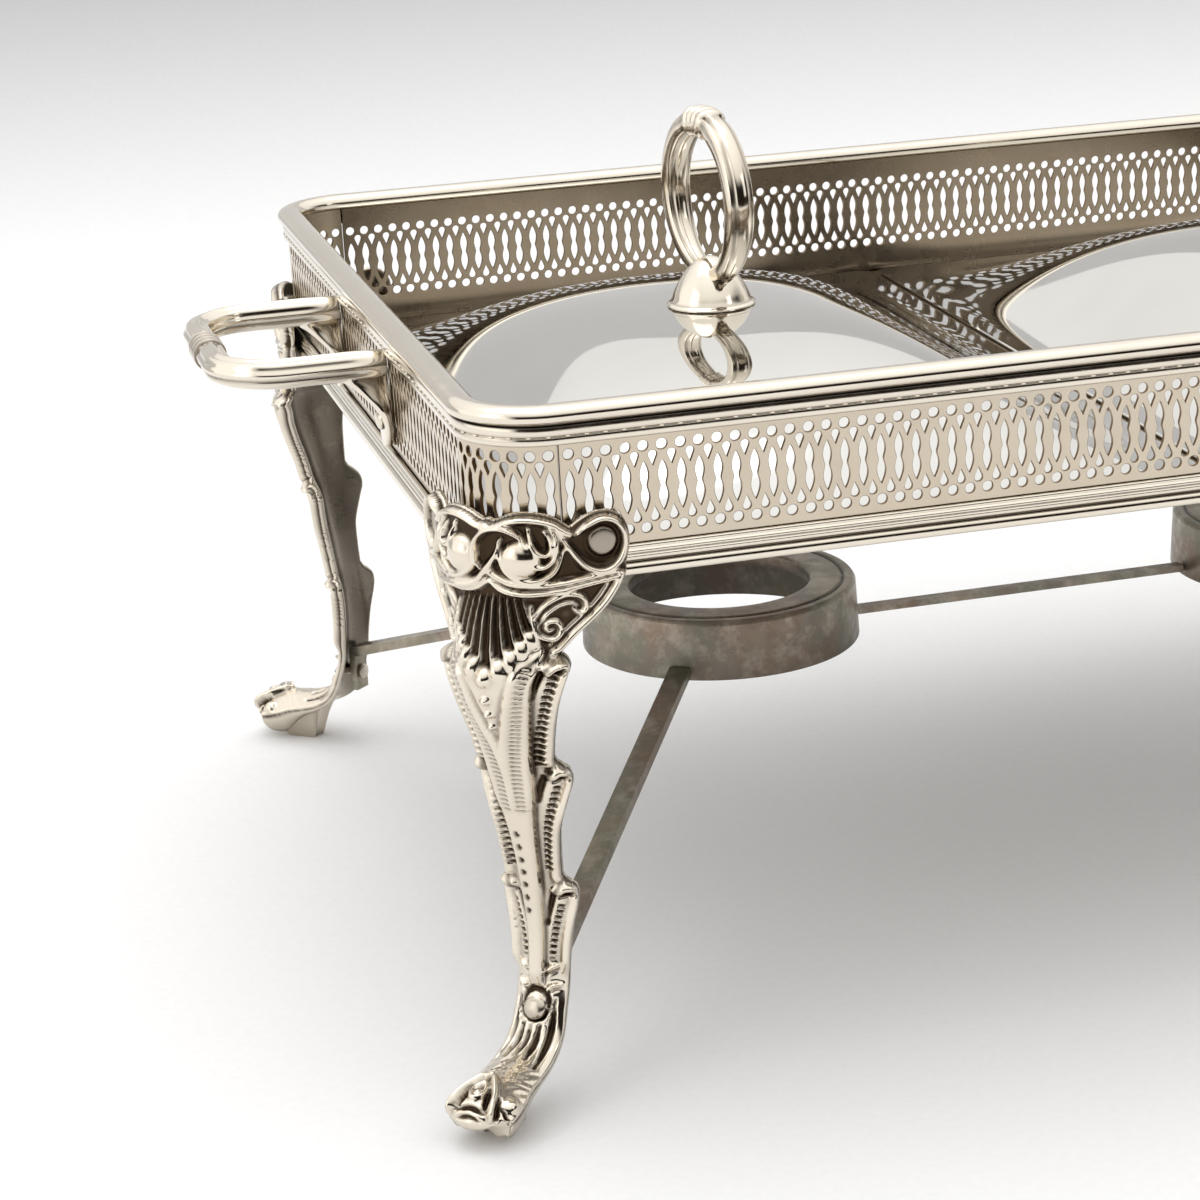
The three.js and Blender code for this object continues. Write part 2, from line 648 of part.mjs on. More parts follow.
// The bell-shaped boss, hollow for the screw. A positive swell makes the cutter for the ring handle
function bellGeometry(swell = 0) {
  const profile = [
    [BELL_RADIUS - 0.4, 0],
    [BELL_RADIUS, 0.9],
    [9.8, 1.5],
    [9.1, 4.5],
    [7.3, 8.3],
    [4.4, 11.8],
  ].map(([r, z]) => [r + swell, z]);
  const bore = swell ? [[0, -1]] : [[0, 9], [SCREW_RADIUS + 0.3, 9], [SCREW_RADIUS + 0.3, 0]];
  const points = [...bore, ...profile, [0, BELL_HEIGHT + swell]].map((p) => new THREE.Vector2(...p));
  return new THREE.LatheGeometry(points, 12).rotateX(Math.PI / 2);
}

// Ring handle: a stirrup whose limbs come down on the shoulders of the bell, collared at the top
function gripGeometry() {
  const open = THREE.MathUtils.degToRad(16);
  const collar = (a) => (Math.abs(a) < 0.16 ? 1 + 0.2 * Math.cos((a / 0.16) * Math.PI * 1.5) ** 2 : 1);
  const angles = [-0.2, -0.16, -0.08, 0, 0.08, 0.16, 0.2];
  const side = 7;
  for (let i = 1; i <= side; i++) {
    const a = 0.2 + ((Math.PI - open - 0.2) * i) / side;
    angles.push(a);
    angles.unshift(-a);
  }
  const sections = angles.map((a) => {
    const out = v3(0, Math.sin(a), Math.cos(a));
    const r = GRIP_TUBE * collar(a);
    return [0, 1, 2, 3, 4, 5, 6, 7].map((i) => {
      const b = (i * Math.PI) / 4;
      return v3(r * Math.sin(b), 0, 0)
        .addScaledVector(out, GRIP_RADIUS + r * Math.cos(b))
        .add(v3(0, 0, GRIP_CENTRE));
    });
  });
  const cutter = toSolid(bellGeometry(CLEARANCE));
  const cleared = toSolid(loft(sections)).subtract(cutter).decompose();
  return fromSolid(cleared.sort((p, q) => q.volume() - p.volume())[0]);
}

for (const [side, sx] of [["left", -1], ["right", 1]]) {
  const lid = new THREE.Group();
  lid.position.x = sx * lidCentre;
  lid.rotation.z = sx < 0 ? 0 : Math.PI;
  stand.add(lid);
  add("lid_" + side, lidGeometry(), mirrorSteel, lid);
  const boss = new THREE.Group();
  boss.position.z = lidTop + CLEARANCE;
  lid.add(boss);
  add("lid_bell_" + side, bellGeometry(), plated, boss);
  const grip = add("lid_grip_" + side, gripGeometry(), castPlate, boss);
  grip.rotation.z = THREE.MathUtils.degToRad(GRIP_TURN);
  const screw = new THREE.LatheGeometry(
    [[0, -4.1], [3, -3.8], [4, -1.6], [SCREW_RADIUS, -1.6], [SCREW_RADIUS, 8], [0, 8]].map(
      (p) => new THREE.Vector2(...p),
    ),
    8,
  );
  add("lid_screw_" + side, screw.rotateX(Math.PI / 2), plated, boss);
}

// End handles, drawn for the right-hand end
const tabBack = HALF_X + CLEARANCE;
const tabFront = tabBack + TAB_THICKNESS;

function handleGeometry() {
  const outer = HALF_X + HANDLE_REACH;
  const bendX = outer - HANDLE_BEND;
  const bendY = HANDLE_ARM_Y - HANDLE_BEND;
  const path = [];
  const put = (x, y, nx, ny, scale = 1) => path.push({ x, y, nx, ny, scale });
  const quarter = 3;
  put(tabFront - 0.5, -HANDLE_ARM_Y, 0, -1, 1.08);
  for (let i = 0; i <= quarter; i++) {
    const a = -Math.PI / 2 + (i / quarter) * (Math.PI / 2);
    const x = bendX + HANDLE_BEND * Math.cos(a);
    put(x, -bendY + HANDLE_BEND * Math.sin(a), Math.cos(a), Math.sin(a));
  }
  // Three reeds round the middle
  for (const [y, scale] of [[-7, 1], [-6, 1.18], [-3.4, 1.05], [0, 1.28], [3.4, 1.05], [6, 1.18], [7, 1]]) {
    put(outer, y, 1, 0, scale);
  }
  for (let i = 0; i <= quarter; i++) {
    const a = (i / quarter) * (Math.PI / 2);
    const x = bendX + HANDLE_BEND * Math.cos(a);
    put(x, bendY + HANDLE_BEND * Math.sin(a), Math.cos(a), Math.sin(a));
  }
  put(tabFront - 0.5, HANDLE_ARM_Y, 0, 1, 1.08);
  const sections = path.map(({ x, y, nx, ny, scale }) =>
    [0, 1, 2, 3, 4, 5, 6, 7].map((i) => {
      const b = ((i + 0.5) * Math.PI) / 4;
      const r = HANDLE_TUBE * scale;
      return v3(x + nx * r * Math.cos(b), y + ny * r * Math.cos(b), handleHeight + r * Math.sin(b));
    }));
  let solid = toSolid(loft(sections));

  // Bracket tab: square at the arm, round at the foot, with the rivet's hole
  const radius = TAB_WIDTH / 2;
  const foot = handleHeight - TAB_DROP + radius;
  const top = bandTop - RIM_STRIP - CLEARANCE;
  const shape = new THREE.Shape();
  shape.moveTo(radius, foot).lineTo(radius, top).lineTo(-radius, top).lineTo(-radius, foot);
  shape.absarc(0, foot, radius, Math.PI, 2 * Math.PI, false);
  const boreRadius = HANDLE_RIVET_RADIUS + CLEARANCE;
  const bore = new THREE.Path().absarc(0, handleRivetHeight, boreRadius, 0, 2 * Math.PI, true);
  shape.holes.push(bore);
  const pressed = { depth: TAB_THICKNESS, bevelEnabled: false, curveSegments: 6 };
  for (const sy of [-1, 1]) {
    const tab = new THREE.ExtrudeGeometry(shape, pressed);
    tab.rotateX(Math.PI / 2).rotateZ(Math.PI / 2).translate(tabBack, sy * HANDLE_ARM_Y, 0);
    solid = solid.add(toSolid(tab));
  }
  return fromSolid(solid);
}

for (const [side, sx] of [["left", -1], ["right", 1]]) {
  const end = new THREE.Group();
  end.rotation.z = sx < 0 ? Math.PI : 0;
  stand.add(end);
  add("end_handle_" + side, handleGeometry(), castPlate, end);
  for (const [place, sy] of [["front", -sx], ["back", sx]]) {
    const inside = HALF_X - BAND_THICKNESS - CLEARANCE;
    const rivet = turned([
      [tabFront + 2, 0],
      [tabFront + 1.6, 2],
      [tabFront + CLEARANCE, 3.4],
      [tabFront + CLEARANCE, HANDLE_RIVET_RADIUS],
      [inside, HANDLE_RIVET_RADIUS],
      [inside, 2.1],
      [inside - 0.5, 0],
    ], 6);
    rivet.translate(0, sy * HANDLE_ARM_Y, handleRivetHeight);
    add("handle_rivet_" + side + "_" + place, rivet, plated, end);
  }
}

export default stand;
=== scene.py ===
"""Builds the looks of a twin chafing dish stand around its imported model.

A silver-plated stand: a pierced gallery between two moulded rims, four cast legs with scrolled knees,
two loop handles, two tarnished burner rings on flat bars, and two mirror-bright domed lids with rings.
"""
import math

import bpy
import numpy as np
from bpy.props import FloatProperty, FloatVectorProperty, PointerProperty
from mathutils import Matrix, Vector
from mathutils.geometry import delaunay_2d_cdt


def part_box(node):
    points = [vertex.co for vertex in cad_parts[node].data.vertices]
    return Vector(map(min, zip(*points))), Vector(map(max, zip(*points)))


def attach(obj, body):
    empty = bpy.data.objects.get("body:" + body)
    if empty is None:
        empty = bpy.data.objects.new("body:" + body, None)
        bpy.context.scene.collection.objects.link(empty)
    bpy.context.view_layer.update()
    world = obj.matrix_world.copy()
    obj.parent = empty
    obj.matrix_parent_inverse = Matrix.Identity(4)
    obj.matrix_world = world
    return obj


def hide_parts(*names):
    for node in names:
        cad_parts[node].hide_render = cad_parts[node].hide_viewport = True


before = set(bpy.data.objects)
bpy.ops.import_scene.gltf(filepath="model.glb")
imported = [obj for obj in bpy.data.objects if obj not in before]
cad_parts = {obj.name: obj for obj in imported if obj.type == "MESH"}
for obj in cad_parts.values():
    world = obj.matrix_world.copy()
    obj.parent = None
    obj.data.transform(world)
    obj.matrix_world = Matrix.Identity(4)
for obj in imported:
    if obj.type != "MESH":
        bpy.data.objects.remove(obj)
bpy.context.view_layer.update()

bl_info = {
    "name": "Twin Chafing Dish Stand",
    "version": (1, 0, 0),
    "blender": (4, 5, 0),
    "location": "3D View > Sidebar > Stand",
    "description": "Builds a silver-plated chafing dish stand with a pierced gallery, cast legs and lids",
    "category": "Add Mesh",
}

MM = 0.001
CORNERS = {"front_left": (-1, -1), "front_right": (1, -1), "back_right": (1, 1), "back_left": (-1, 1)}
SIDES = {"left": -1, "right": 1}
QUARTER = math.pi / 2


def low(node):
    """The lowest corner of a node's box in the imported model, in millimetres."""
    return np.array(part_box(node)[0]) / MM


def high(node):
    """The highest corner of that box."""
    return np.array(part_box(node)[1]) / MM


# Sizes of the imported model, in millimetres
HALF_X = high("gallery_right")[0]  # outside of the gallery band
HALF_Y = high("gallery_back")[1]
SHEET = HALF_Y - low("gallery_back")[1]
BAND_LOW, BAND_TOP = low("gallery_back")[2], high("gallery_back")[2]
BUTT_GAP = low("gallery_corner_back_right")[0] - high("gallery_back")[0]
AXIS_X = (low("gallery_corner_back_right")[0] + high("gallery_back")[0]) / 2  # axes of the rounded corners
CORNER = HALF_X - AXIS_X
AXIS_Y = HALF_Y - CORNER
LEDGE = high("centre_bar")[2]
RIM_TOP = high("top_rim")[2]
RIM_OUT = high("top_rim")[0] - HALF_X
RIM_FOOT = low("bottom_rim")[2]
LID_BASE, LID_TOP = low("lid_left")[2], high("lid_left")[2]
# The band's four flat sides: the way each faces, its distance from the middle, and half its run
FLAT_SIDES = {
    "front": ((0, -1), HALF_Y, AXIS_X),
    "right": ((1, 0), HALF_X, AXIS_Y),
    "back": ((0, 1), HALF_Y, AXIS_X),
    "left": ((-1, 0), HALF_X, AXIS_Y),
}


def linear(hex_colour):
    """An sRGB hex value as a linear colour with alpha."""
    channels = [int(hex_colour[i : i + 2], 16) / 255 for i in (1, 3, 5)]
    return (*[c / 12.92 if c <= 0.04045 else ((c + 0.055) / 1.055) ** 2.4 for c in channels], 1)


def length(name, about, default):
    """A size property, given in millimetres and kept in metres."""
    return FloatProperty(name=name, description=about, default=default * MM, unit="LENGTH", precision=5)


def colour(name, about, default):
    return FloatVectorProperty(
        name=name, description=about, default=linear(default), size=4, subtype="COLOR", min=0, max=1
    )


class GallerySizes(bpy.types.PropertyGroup):
    """Sizes of the pierced band."""

    pitch: length("Pitch", "Distance between two columns of holes", 4.59)
    hole: length("Round hole", "Diameter of the round holes of the top and bottom row", 2.75)
    slot_width: length("Slot width", "Widest part of the long double-lobed slot", 2.3)
    slot_height: length("Slot height", "Height of the long slot from point to point", 12.6)
    edge: length("Edge", "Width of the rounded edge that the punch and the polish leave", 0.13)


class LegSizes(bpy.types.PropertyGroup):
    """Sizes of the cast leg."""

    step: length("Step", "Spacing of the points that carry the modelled ornament", 0.325)
    wall: length("Wall", "Thickness of the hollow-backed casting", 2.3)
    relief: FloatProperty(name="Relief", description="Strength of the ornament", default=1, min=0, max=2)


class FinishColours(bpy.types.PropertyGroup):
    """Colours of the finishes."""

    plate: colour("Silver plate", "Warm worn silver plate on the gallery, rims and handles", "#E6DFD2")
    cast: colour("Cast plate", "Plate on the castings", "#E4DCCE")
    # Also the colour of the painted shade on the legs' backs, under the handles' rivet heads, on the ledge
    # and under the top rim's crown
    tarnish_and_shade: colour("Tarnish", "Brown film in the hollows", "#3E3226")
    lids: colour("Lid steel", "Mirror-polished lids", "#DAD9D6")
    rings: colour("Ring metal", "Dull heat-stained metal of the burner rings", "#8C8374")
    sweep: colour("Backdrop", "Pale paper sweep", "#EFEFF0")


def add_node(tree, kind, inputs=None, output=0, **settings):
    """Adds a shader node, fills its sockets with values or links, and gives one of its outputs."""
    node = tree.nodes.new(kind)
    for key, value in settings.items():
        setattr(node, key, value)
    for socket, value in (inputs or {}).items():
        if isinstance(value, bpy.types.NodeSocket):
            tree.links.new(value, node.inputs[socket])
        else:
            node.inputs[socket].default_value = value
    return node.outputs[output] if len(node.outputs) else node


def ramp(tree, factor, stops):
    """A colour ramp from a list of positions and hex colours."""
    shade = add_node(tree, "ShaderNodeValToRGB", {"Fac": factor}, "Color")
    elements = shade.node.color_ramp.elements
    while len(elements) < len(stops):
        elements.new(0.5)
    for element, (position, value) in zip(elements, stops):
        element.position = position
        element.color = linear(value) if isinstance(value, str) else value
    return shade


def noise(tree, place, size, detail, **more):
    """Noise whose blotches are about that many millimetres across."""
    inputs = {"Vector": place, "Scale": 1 / (size * MM), "Detail": detail, "Roughness": 0.55, **more}
    return add_node(tree, "ShaderNodeTexNoise", inputs, "Fac")


def mixed(tree, factor, a, b, blend="MIX"):
    """Two colours mixed. The mix node's colour sockets are its seventh and eighth, its output the third."""
    return add_node(tree, "ShaderNodeMix", {0: factor, 6: a, 7: b}, 2, data_type="RGBA", blend_type=blend)


def scaled(tree, value, from_low, from_high, to_low, to_high):
    """A value brought from one range to another, and held inside it."""
    inputs = {"Value": value, "From Min": from_low, "From Max": from_high, "To Min": to_low}
    return add_node(tree, "ShaderNodeMapRange", inputs | {"To Max": to_high}, "Result")


def sums(tree, operation, *values, clamp=False):
    return add_node(tree, "ShaderNodeMath", dict(enumerate(values)), operation=operation, use_clamp=clamp)


def new_material(name):
    """An empty node material, its tree, and a piece's own coordinates."""
    material = bpy.data.materials.new(name)
    material.use_nodes = True
    tree = material.node_tree
    tree.nodes.clear()
    return material, tree, add_node(tree, "ShaderNodeTexCoord", output="Object")


def hollows(tree):
    """The share of film, and of painted shade, at each point of a piece."""
    return add_node(tree, "ShaderNodeAttribute", output="Fac", attribute_name="hollow")


def finished(material, inputs, height=None, strength=0, depth=0):
    """Gives a material its shader, with a bump that many millimetres deep where a height is given."""
    tree = material.node_tree
    if height is not None:
        bump = {"Strength": strength, "Distance": depth * MM, "Height": height}
        inputs["Normal"] = add_node(tree, "ShaderNodeBump", bump)
    shader = add_node(tree, "ShaderNodeBsdfPrincipled", inputs)
    add_node(tree, "ShaderNodeOutputMaterial", {"Surface": shader})
    return material


def silver_plate(name, base, film, cloudy, haze, dents):
    """Silver plate over brass, polished by hand for years: bright, with brown film in the hollows, and
    painted shade in the same brown.
    """
    material, tree, place = new_material(name)
    # Film gathers in the hollows and in clouds a centimetre or two across that polishing has missed; the
    # pieces' share also holds painted shade
    clouds = scaled(tree, noise(tree, place, 14, 4), 0.42, 0.75, 0, cloudy)
    film_and_shade_share = sums(tree, "ADD", hollows(tree), clouds, clamp=True)
    warm = mixed(tree, noise(tree, place, 45, 2), base, mixed(tree, 0.16, base, linear("#B89A6A")))
    # Hand work leaves the surface a little uneven, and wiping leaves hair scratches about 0.3 mm apart
    squeezed = {"Vector": place, "Scale": (0.12, 0.3, 1), "Rotation": (0.3, 0.2, 0.5)}
    hairs = noise(tree, add_node(tree, "ShaderNodeMapping", squeezed), 0.45, 1)
    dull = scaled(tree, noise(tree, place, 6, 5), 0.3, 0.7, *haze)
    return finished(material, {
        "Base Color": mixed(tree, film_and_shade_share, warm, film),
        "Metallic": 1,
        "Roughness": sums(tree, "MULTIPLY_ADD", film_and_shade_share, 0.22, dull),
    }, sums(tree, "MULTIPLY_ADD", hairs, 0.03, noise(tree, place, 9, 2)), dents, 0.3)


def heat_stained_metal(name, grey):
    """Plated brass that has sat over flames: grey-brown, with reddish and green films, rubbed in patches."""
    material, tree, place = new_material(name)
    stain = ramp(tree, noise(tree, place, 34, 3), [
        (0.32, "#82786A"), (0.43, "#846B5E"), (0.5, "#7E756E"), (0.56, "#777C6F"), (0.64, "#9A8F7E"),
        (0.74, "#BEB6A6"),
    ])
    rubbed = scaled(tree, noise(tree, place, 7, 8, Roughness=0.7), 0.48, 0.72, 0, 0.6)
    worn = mixed(tree, rubbed, mixed(tree, 0.5, stain, grey), linear("#C4BCAD"))
    return finished(material, {
        "Base Color": mixed(tree, hollows(tree), worn, linear("#2A231E")),
        "Metallic": 0.92,
        "Roughness": scaled(tree, noise(tree, place, 3, 5), 0.3, 0.7, 0.3, 0.48),
    }, noise(tree, place, 1.2, 4), 0.35, 0.2)


def mirror_polished_steel(name, steel):
    """Stainless steel, pressed and mirror polished: clear reflections, faintly hazed by hands."""
    material, tree, place = new_material(name)
    return finished(material, {
        "Base Color": mixed(tree, noise(tree, place, 60, 2), steel, linear("#C9C7C2")),
        "Metallic": 1,
        "Roughness": scaled(tree, noise(tree, place, 22, 5), 0.5, 0.75, 0.035, 0.075),
    }, noise(tree, place, 38, 1), 0.06, 0.5)


def paper_sweep(name, paper):
    """Matt studio paper, with painted shade that makes it a little greyer where it leaves the floor behind
    the object.
    """
    material, tree, place = new_material(name)
    rise = add_node(tree, "ShaderNodeSeparateXYZ", {0: place}, "Z")
    # Painted shade: the paper's colour darkens up the bend and lightens again towards the top of the wall
    painted_shade_stops = [(0, paper), (0.15, "#C0C0C3"), (0.32, "#E6E6E7"), (1, "#EFEFF0")]
    shaded_paper = ramp(tree, scaled(tree, rise, 0, 0.9, 0, 1), painted_shade_stops)
    fibre = scaled(tree, noise(tree, place, 2.5, 3), 0.3, 0.7, 0.97, 1)
    return finished(material, {
        "Base Color": mixed(tree, 1, shaded_paper, fibre, "MULTIPLY"), "Roughness": 0.9, "Specular IOR Level": 0.2,
    })


finishes = {}


def finish_of(name):
    """The material of that name, made once from the colours of the finishes."""
    if name not in finishes:
        colours = bpy.context.scene.stand_colours
        plate, cast, film = tuple(colours.plate), tuple(colours.cast), tuple(colours.tarnish_and_shade)
        maker, *values = {
            # Bright rolled and turned plate, rubbed most
            "polished_silver_plate": (silver_plate, plate, film, 0.04, (0.08, 0.15), 0.1),
            # Sheet of the gallery: duller and more golden, with a yellow-brown film round the holes
            "pierced_silver_plate": (
                silver_plate, linear("#CCC2B2"), linear("#6A5230"), 0.08, (0.13, 0.2), 0.12,
            ),
            # Castings: a little uneven, with dark film in the cut ornament
            "cast_silver_plate": (silver_plate, cast, film, 0.03, (0.09, 0.16), 0.16),
            # Hidden pieces that nobody polishes
            "brown_filmed_plate": (silver_plate, linear("#9C8D78"), film, 0.5, (0.25, 0.4), 0.25),
            # Dull grey-brown rings and bars, stained by the burners' heat
            "heat_stained_metal": (heat_stained_metal, tuple(colours.rings)),
            # Cold, clear mirror of the lids
            "mirror_polished_steel": (mirror_polished_steel, tuple(colours.lids)),
            # Pale ground that takes soft shadows
            "paper_sweep": (paper_sweep, tuple(colours.sweep)),
        }[name]
        finishes[name] = maker(name, *values)
    return finishes[name]


def smooth_curve(points, step):
    """A Catmull-Rom curve through the points, sampled about every step."""
    p = np.asarray(points, float)
    q = np.vstack([2 * p[:1] - p[1:2], p, 2 * p[-1:] - p[-2:-1]])
    out = []
    for i in range(1, len(q) - 2):
        a, b, c, d = q[i - 1 : i + 3]
        n = max(1, int(np.ceil(np.linalg.norm(c - b) / step)))
        t = np.linspace(0, 1, n, endpoint=False)[:, None]
        out.append(b + 0.5 * t * (c - a + t * (2 * a - 5 * b + 4 * c - d + t * (3 * (b - c) + d - a))))
    return np.vstack([*out, p[-1:]])


def make_mesh(name, points, faces, sharp=35, hollow=None):
    """A shaded mesh from points in millimetres. Edges sharper than that many degrees stay crisp."""
    mesh = bpy.data.meshes.new(name)
    faces = [tuple(int(i) for i in face) for face in faces]
    mesh.from_pydata((np.asarray(points, float) * MM).tolist(), [], faces)
    mesh.polygons.foreach_set("use_smooth", [True] * len(mesh.polygons))
    if sharp is not None:
        mesh.set_sharp_from_angle(angle=math.radians(sharp))
    if hollow is not None:
        mesh.attributes.new("hollow", "FLOAT", "POINT").data.foreach_set("value", np.clip(hollow, 0, 1))
    mesh.validate()
    mesh.update()
    return mesh


def linked(name, mesh):
    """A new object of the scene with that mesh."""
    thing = bpy.data.objects.new(name, mesh)
    bpy.context.scene.collection.objects.link(thing)
    return thing


def put(name, mesh, body, finish, nodes, matrix=None):
    """Places a piece, with its finish, on the body that carries it, instead of the nodes it replaces."""
    if matrix is not None:
        mesh = mesh.copy()
        mesh.name = name
        mesh.transform(matrix)
    piece = linked(name, mesh)
    if not mesh.materials:
        mesh.materials.append(finish_of(finish))
    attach(piece, body)
    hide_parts(*nodes)
    return piece


def put_silver(name, mesh, nodes, body="stand", matrix=None):
    """Places a piece of bright silver plate."""
    put(name, mesh, body, "polished_silver_plate", nodes, matrix)


def around_z(points, angle):
    """Points turned about Z."""
    c, s = math.cos(angle), math.sin(angle)
    return points @ np.array([[c, s, 0], [-s, c, 0], [0, 0, 1]])


def level_ring(plan, z):
    """Points of a plan at one height."""
    return np.column_stack([plan, np.full(len(plan), z)])


def bell_curve(x, middle, width):
    """1 in the middle, falling off to both sides."""
    return np.exp(-(((x - middle) / width) ** 2))


def dome(x):
    """The height of a round strand, from 1 over its middle line to 0 at its edges, where x is 1."""
    return np.clip(1 - x**2, 0, None) ** 0.5


def smoothstep(x, low_end, high_end):
    t = np.clip((x - low_end) / (high_end - low_end), 0, 1)
    return t * t * (3 - 2 * t)


def grid_faces(rings, across, close_rings=False):
    """Quads between rings of points, each closed and with so many points across."""
    faces = []
    for i in range(rings if close_rings else rings - 1):
        a, b = i * across, (i + 1) % rings * across
        for j in range(across):
            k = (j + 1) % across
            faces.append((a + j, a + k, b + k, b + j))
    return faces


def swept(sections):
    """Points and faces of a capped tube through sections of equal count, anticlockwise from its end."""
    sections = np.asarray(sections, float)
    rings, across = sections.shape[:2]
    faces = grid_faces(rings, across)
    faces.append(tuple(range(across - 1, -1, -1)))
    faces.append(tuple((rings - 1) * across + j for j in range(across)))
    return sections.reshape(-1, 3), faces


def turned(profile, steps):
    """Points and faces of a profile of (radius, height) turned about Z, closed or ending on the axis."""
    profile = np.asarray(profile, float)
    on_axis = profile[0, 0] < 1e-6
    angles = np.linspace(0, 2 * np.pi, steps, endpoint=False)
    inner = profile[1:-1] if on_axis else profile
    points = np.array([(r * math.cos(a), r * math.sin(a), z) for r, z in inner for a in angles])
    faces = grid_faces(len(inner), steps, close_rings=not on_axis)
    if on_axis:
        points = np.vstack([points, [0, 0, profile[0, 1]], [0, 0, profile[-1, 1]]])
        first, last, top = len(points) - 2, len(points) - 1, (len(inner) - 1) * steps
        faces += [(first, (j + 1) % steps, j) for j in range(steps)]
        faces += [(last, top + j, top + (j + 1) % steps) for j in range(steps)]
    return points, faces


def joined(*solids):
    """One list of points and faces from several."""
    points, faces, count = [], [], 0
    for p, f in solids:
        points.append(np.asarray(p, float))
        faces += [tuple(i + count for i in face) for face in f]
        count += len(p)
    return np.vstack(points), faces


def rounded(profile, radius, steps=3):
    """A closed profile with its corners rounded off."""
    p = np.asarray(profile, float)
    out = []
    for i, b in enumerate(p):
        u, v = p[i - 1] - b, p[(i + 1) % len(p)] - b
        lu, lv = np.linalg.norm(u), np.linalg.norm(v)
        cut = min(radius, 0.45 * lu, 0.45 * lv)
        s, e = b + u / lu * cut, b + v / lv * cut
        out += [(1 - t) ** 2 * s + 2 * t * (1 - t) * b + t * t * e for t in np.linspace(0, 1, steps + 1)]
    return np.array(out)


def outline_at(offset):
    """The stand's rounded rectangle, offset outwards from the band, with points about 40 mm apart."""
    radius, per_corner, along = CORNER + offset, 14, 40
    corners = [(1, 1), (-1, 1), (-1, -1), (1, -1)]

    def place(quarter, angle):
        sx, sy = corners[quarter % 4]
        return sx * AXIS_X + radius * math.cos(angle), sy * AXIS_Y + radius * math.sin(angle)

    points = []
    for quarter in range(4):
        points += [place(quarter, (quarter + i / per_corner) * QUARTER) for i in range(per_corner + 1)]
        here, ahead = np.array(points[-1]), np.array(place(quarter + 1, (quarter + 1) * QUARTER))
        count = int(round(np.linalg.norm(ahead - here) / along))
        points += [tuple(here + (ahead - here) * k / count) for k in range(1, count)]
    return np.array(points)


def moulded_frame(profile, hollow):
    """Points, faces and film of a frame with a closed profile of (offset, height) and its film."""
    rings = np.array([level_ring(outline_at(offset), z) for offset, z in profile])
    count, around = rings.shape[:2]
    return rings.reshape(-1, 3), grid_faces(count, around, close_rings=True), np.repeat(hollow, around)


def circle(x, z, radius, count=14):
    angles = np.linspace(0, 2 * np.pi, count, endpoint=False)
    return np.column_stack([x + radius * np.cos(angles), z + radius * np.sin(angles)])


def teardrop(x, z, radius, tip, count=16):
    """A round head at z with a point tip millimetres above or below its centre, run anticlockwise."""
    facing = math.copysign(QUARTER, tip)
    open_angle = math.acos(radius / abs(tip))
    angles = np.linspace(open_angle, 2 * np.pi - open_angle, count - 1) + facing
    round_part = np.column_stack([x + radius * np.cos(angles), z + radius * np.sin(angles)])
    return np.vstack([round_part, [(x, z + tip)]])


def long_slot(x, z, width, height):
    """Two lobes joined by a waist, pointed at both ends, run anticlockwise."""
    lobe = [(0, 0.5), (0.16, 0.45), (0.34, 0.37), (0.47, 0.28), (0.5, 0.2), (0.44, 0.12), (0.33, 0.05),
            (0.28, 0)]
    upper = smooth_curve(np.array(lobe) * (width, height), 0.8)
    right = np.vstack([upper, (upper * (1, -1))[::-1][1:]])
    both = np.vstack([right, (right * (-1, 1))[::-1][1:-1]])[::-1]
    return both + (x, z)


def grown(loop, by):
    """An anticlockwise loop moved outwards by that much."""
    ahead, behind = np.roll(loop, -1, axis=0) - loop, loop - np.roll(loop, 1, axis=0)
    ahead /= np.linalg.norm(ahead, axis=1)[:, None]
    behind /= np.linalg.norm(behind, axis=1)[:, None]
    normal = np.column_stack([ahead[:, 1] + behind[:, 1], -ahead[:, 0] - behind[:, 0]]) / 2
    return loop + normal * (by / np.maximum(0.55, (normal * normal).sum(axis=1)))[:, None]


# The rows of holes, from the middle of the pattern: round holes, and the heads and points of the drops
ROUND_ROWS = (10.1, -10.2)
DROP_ROW, DROP_RADIUS, DROP_POINT = 7.7, 1.08, 2.75


def hole_loops(sizes, run, columns):
    """The outlines of a strip's holes. The columns stray a little, as hand-fed work does."""
    pitch = run / columns
    middle = BAND_LOW + (BAND_TOP - BAND_LOW) * 0.527
    loops = []
    for i in range(columns):
        x = (i + 0.5) * pitch - run / 2
        loops.append(circle(x, middle + ROUND_ROWS[0], sizes.hole / MM / 2))
        loops.append(long_slot(x, middle, sizes.slot_width / MM, sizes.slot_height / MM))
        loops.append(circle(x, middle + ROUND_ROWS[1], sizes.hole / MM / 2))
        if i:
            for sign in (1, -1):
                drop = teardrop(x - pitch / 2, middle + sign * DROP_ROW, DROP_RADIUS, -sign * DROP_POINT)
                loops.append(drop)
    for loop in loops:
        loop[:, 0] += 0.1 * np.sin(loop[:, 0] * 2.1 / pitch) * np.cos(loop[:, 0] * 0.37 / pitch)
    return loops


